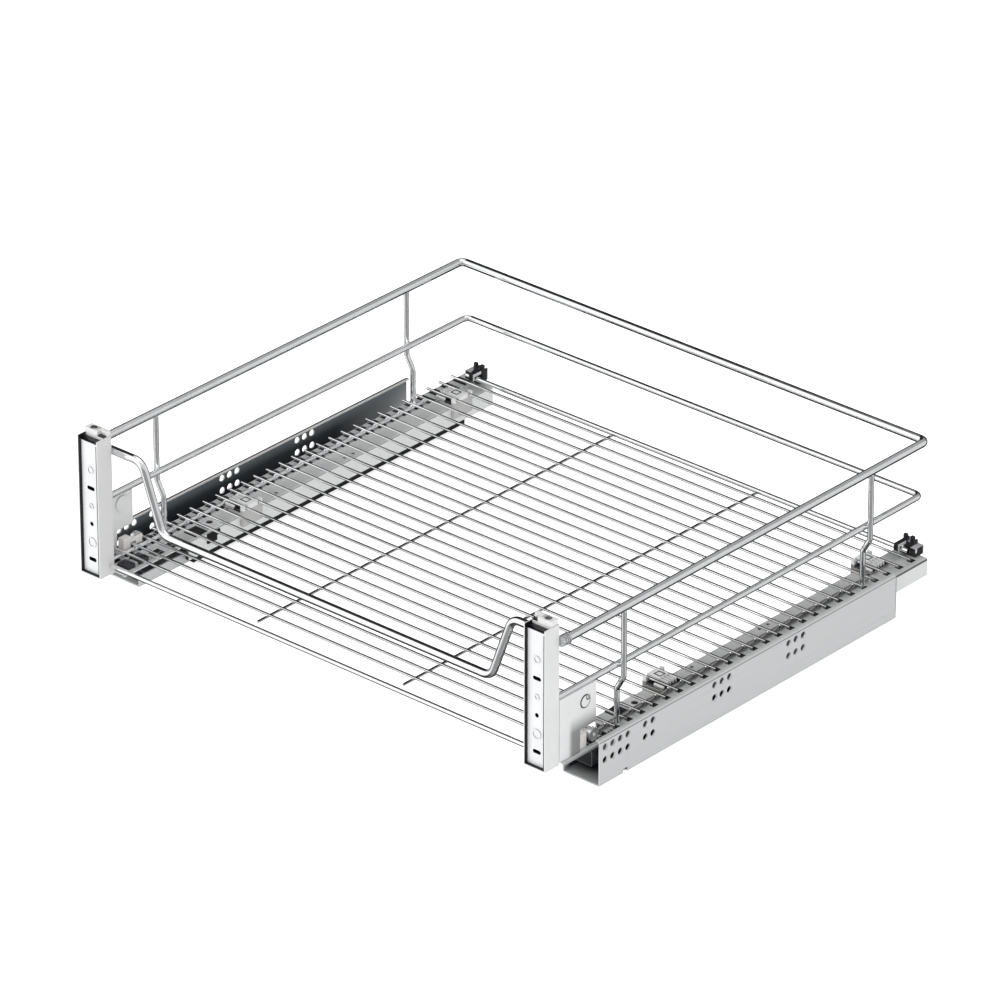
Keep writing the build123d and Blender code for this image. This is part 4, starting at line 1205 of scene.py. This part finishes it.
@dataclass
class Studio:
    """Pale floor, soft light and the camera at the photograph's view.

    Attributes:
        azimuth: Camera's turn from straight ahead, in degrees.
        elevation: Camera's height above the horizon, in degrees.
        distance: Distance from the aim to the camera.
        aim: Point in the middle of the picture.
        lens: Focal length in millimetres.
        sensor: Sensor width in millimetres.
        clip: Nearest and farthest distance that shows.
        floor_half: Half of the floor's side.
        paper: Darkest and lightest grey of the floor.
        paper_cells: Cells per metre of its clouds.
        paper_roughness: Its roughness.
        room: Patches of the room that the metal mirrors, each laid over the ones before.
        sky_strength: Strength of the whole room.
        glow: Strength of the floor's own light.
        lamp_aim: Point that the soft boxes face.
        lamp_power: Power of each soft box in watts.
        lamps: Name, middle and side of each soft box.
    """

    azimuth: float = 41.4474
    elevation: float = 27.6910
    distance: float = 6.53945
    aim: Point = (0.08583, -0.10418, 0.15965)
    lens: float = 283.823
    sensor: float = 36.0
    clip: Span = (0.1, 200.0)
    floor_half: float = 40.0
    paper: Span = (0.93, 0.95)
    paper_cells: float = 3.0
    paper_roughness: float = 0.9
    room: tuple[RoomPatch, ...] = (
        RoomPatch(
            ((-1.0, 0.05), (-0.70, 0.05), (-0.58, 0.70), (-0.15, 0.75), (0.10, 0.85), (1.0, 0.95)),
        ),
        RoomPatch(flat(0.95), (0.90, 0.40, 0.10), (0.60, 0.85)),
        RoomPatch(flat(0.50), (0.0, 0.75, 0.66), (0.88, 0.97)),
        RoomPatch(
            ((-1.0, 0.05), (-0.45, 0.05), (0.30, 0.04), (0.60, 0.5), (1.0, 0.95)),
            (-0.75, 0.50, -0.40), (0.10, 0.50),
        ),
        RoomPatch(flat(0.03), (-1.0, 0.0, 0.0), (0.50, 0.57)),
        RoomPatch(flat(1.5), (-0.62, -0.74, 0.25), (0.62, 0.76)),
        RoomPatch(flat(0.05), (0.20, 0.66, -0.72), (0.87, 0.94)),
        RoomPatch(flat(0.42), (0.59, -0.66, -0.465), (0.50, 0.80)),
    )
    sky_strength: float = 0.8
    glow: float = 0.75
    lamp_aim: Point = (0.0, 0.0, 0.05)
    lamp_power: float = 16.0
    lamps: tuple[tuple[str, Point, float], ...] = (
        ("soft_box_front", (-1.2, -2.6, 2.4), 1.6),
        ("soft_box_top", (0.2, 0.4, 2.8), 2.4),
    )

    def camera(self) -> None:
        """Places the camera."""
        turn, rise = math.radians(self.azimuth), math.radians(self.elevation)
        away = Vector((math.sin(turn) * math.cos(rise), -math.cos(turn) * math.cos(rise), math.sin(rise)))
        lens = bpy.data.cameras.new("camera")
        lens.lens, lens.sensor_width = self.lens, self.sensor
        lens.clip_start, lens.clip_end = self.clip
        camera = bpy.data.objects.new("camera", lens)
        camera.location = Vector(self.aim) + away * self.distance
        camera.rotation_mode = "QUATERNION"
        camera.rotation_quaternion = (-away).to_track_quat("-Z", "Y")
        bpy.context.scene.collection.objects.link(camera)
        bpy.context.scene.camera = camera

    def floor(self) -> None:
        """Lays the pale floor that mirrors in nothing."""
        half = self.floor_half
        mesh = bpy.data.meshes.new("floor")
        corners = [(-half, -half, 0), (half, -half, 0), (half, half, 0), (-half, half, 0)]
        mesh.from_pydata(corners, [], [(0, 1, 2, 3)])
        floor = bpy.data.objects.new("floor", mesh)
        bpy.context.scene.collection.objects.link(floor)
        sheet = MaterialSheet("floor_paper")
        inputs = {
            "Base Color": sheet.grained(even(self.paper_cells), *map(grey, self.paper)),
            "Roughness": self.paper_roughness, "Specular IOR Level": 0.0,
            "Emission Color": (1.0, 1.0, 1.0, 1.0), "Emission Strength": self.glow,
        }
        sheet.feed(sheet.shader, inputs)
        mesh.materials.append(sheet.material)
        floor.visible_glossy = False

    def surroundings(self) -> None:
        """Sets the room that the metal mirrors: bright in front, dark behind."""
        world = bpy.data.worlds.new("studio")
        bpy.context.scene.world = world
        world.use_nodes = True
        sheet = NodeSheet(world.node_tree)
        height = sheet.span(sheet.part_of("Generated", "Z"), (-1.0, 0.0), (1.0, 1.0))
        level = self.room[0].shade(sheet, height)
        for patch in self.room[1:]:
            level = sheet.mix(patch.share(sheet), level, patch.shade(sheet, height))
        sky = world.node_tree.nodes["Background"]
        sheet.feed(sky, {"Color": level, "Strength": self.sky_strength})

    def light(self) -> None:
        """Hangs the square soft boxes that face the drawer."""
        for name, place, size in self.lamps:
            light = bpy.data.lights.new(name, "AREA")
            light.shape, light.size, light.energy = "SQUARE", size, self.lamp_power
            lamp = bpy.data.objects.new(name, light)
            lamp.location = place
            lamp.rotation_mode = "QUATERNION"
            lamp.rotation_quaternion = (Vector(self.lamp_aim) - Vector(place)).to_track_quat("-Z", "Y")
            bpy.context.scene.collection.objects.link(lamp)

    def build(self) -> None:
        """Builds the whole studio."""
        self.camera()
        self.floor()
        self.surroundings()
        self.light()
        bpy.context.scene.view_settings.view_transform = "Standard"


def main() -> None:
    """Builds every sub-assembly in order."""
    logging.basicConfig(level=logging.INFO, format="%(name)s: %(message)s")
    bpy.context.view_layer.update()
    shop = PaintShop()
    Studio().build()
    WireBasket(shop).build()
    for side in Side:
        FrontPost(shop, side).build()
        SideBracket(shop, side).build()
        Slide(shop, side).build()
    shop.dress(["bracket_screws"], SCREW_STEEL)
    BasketClips(shop).build()


if __name__ == "__main__":
    main()
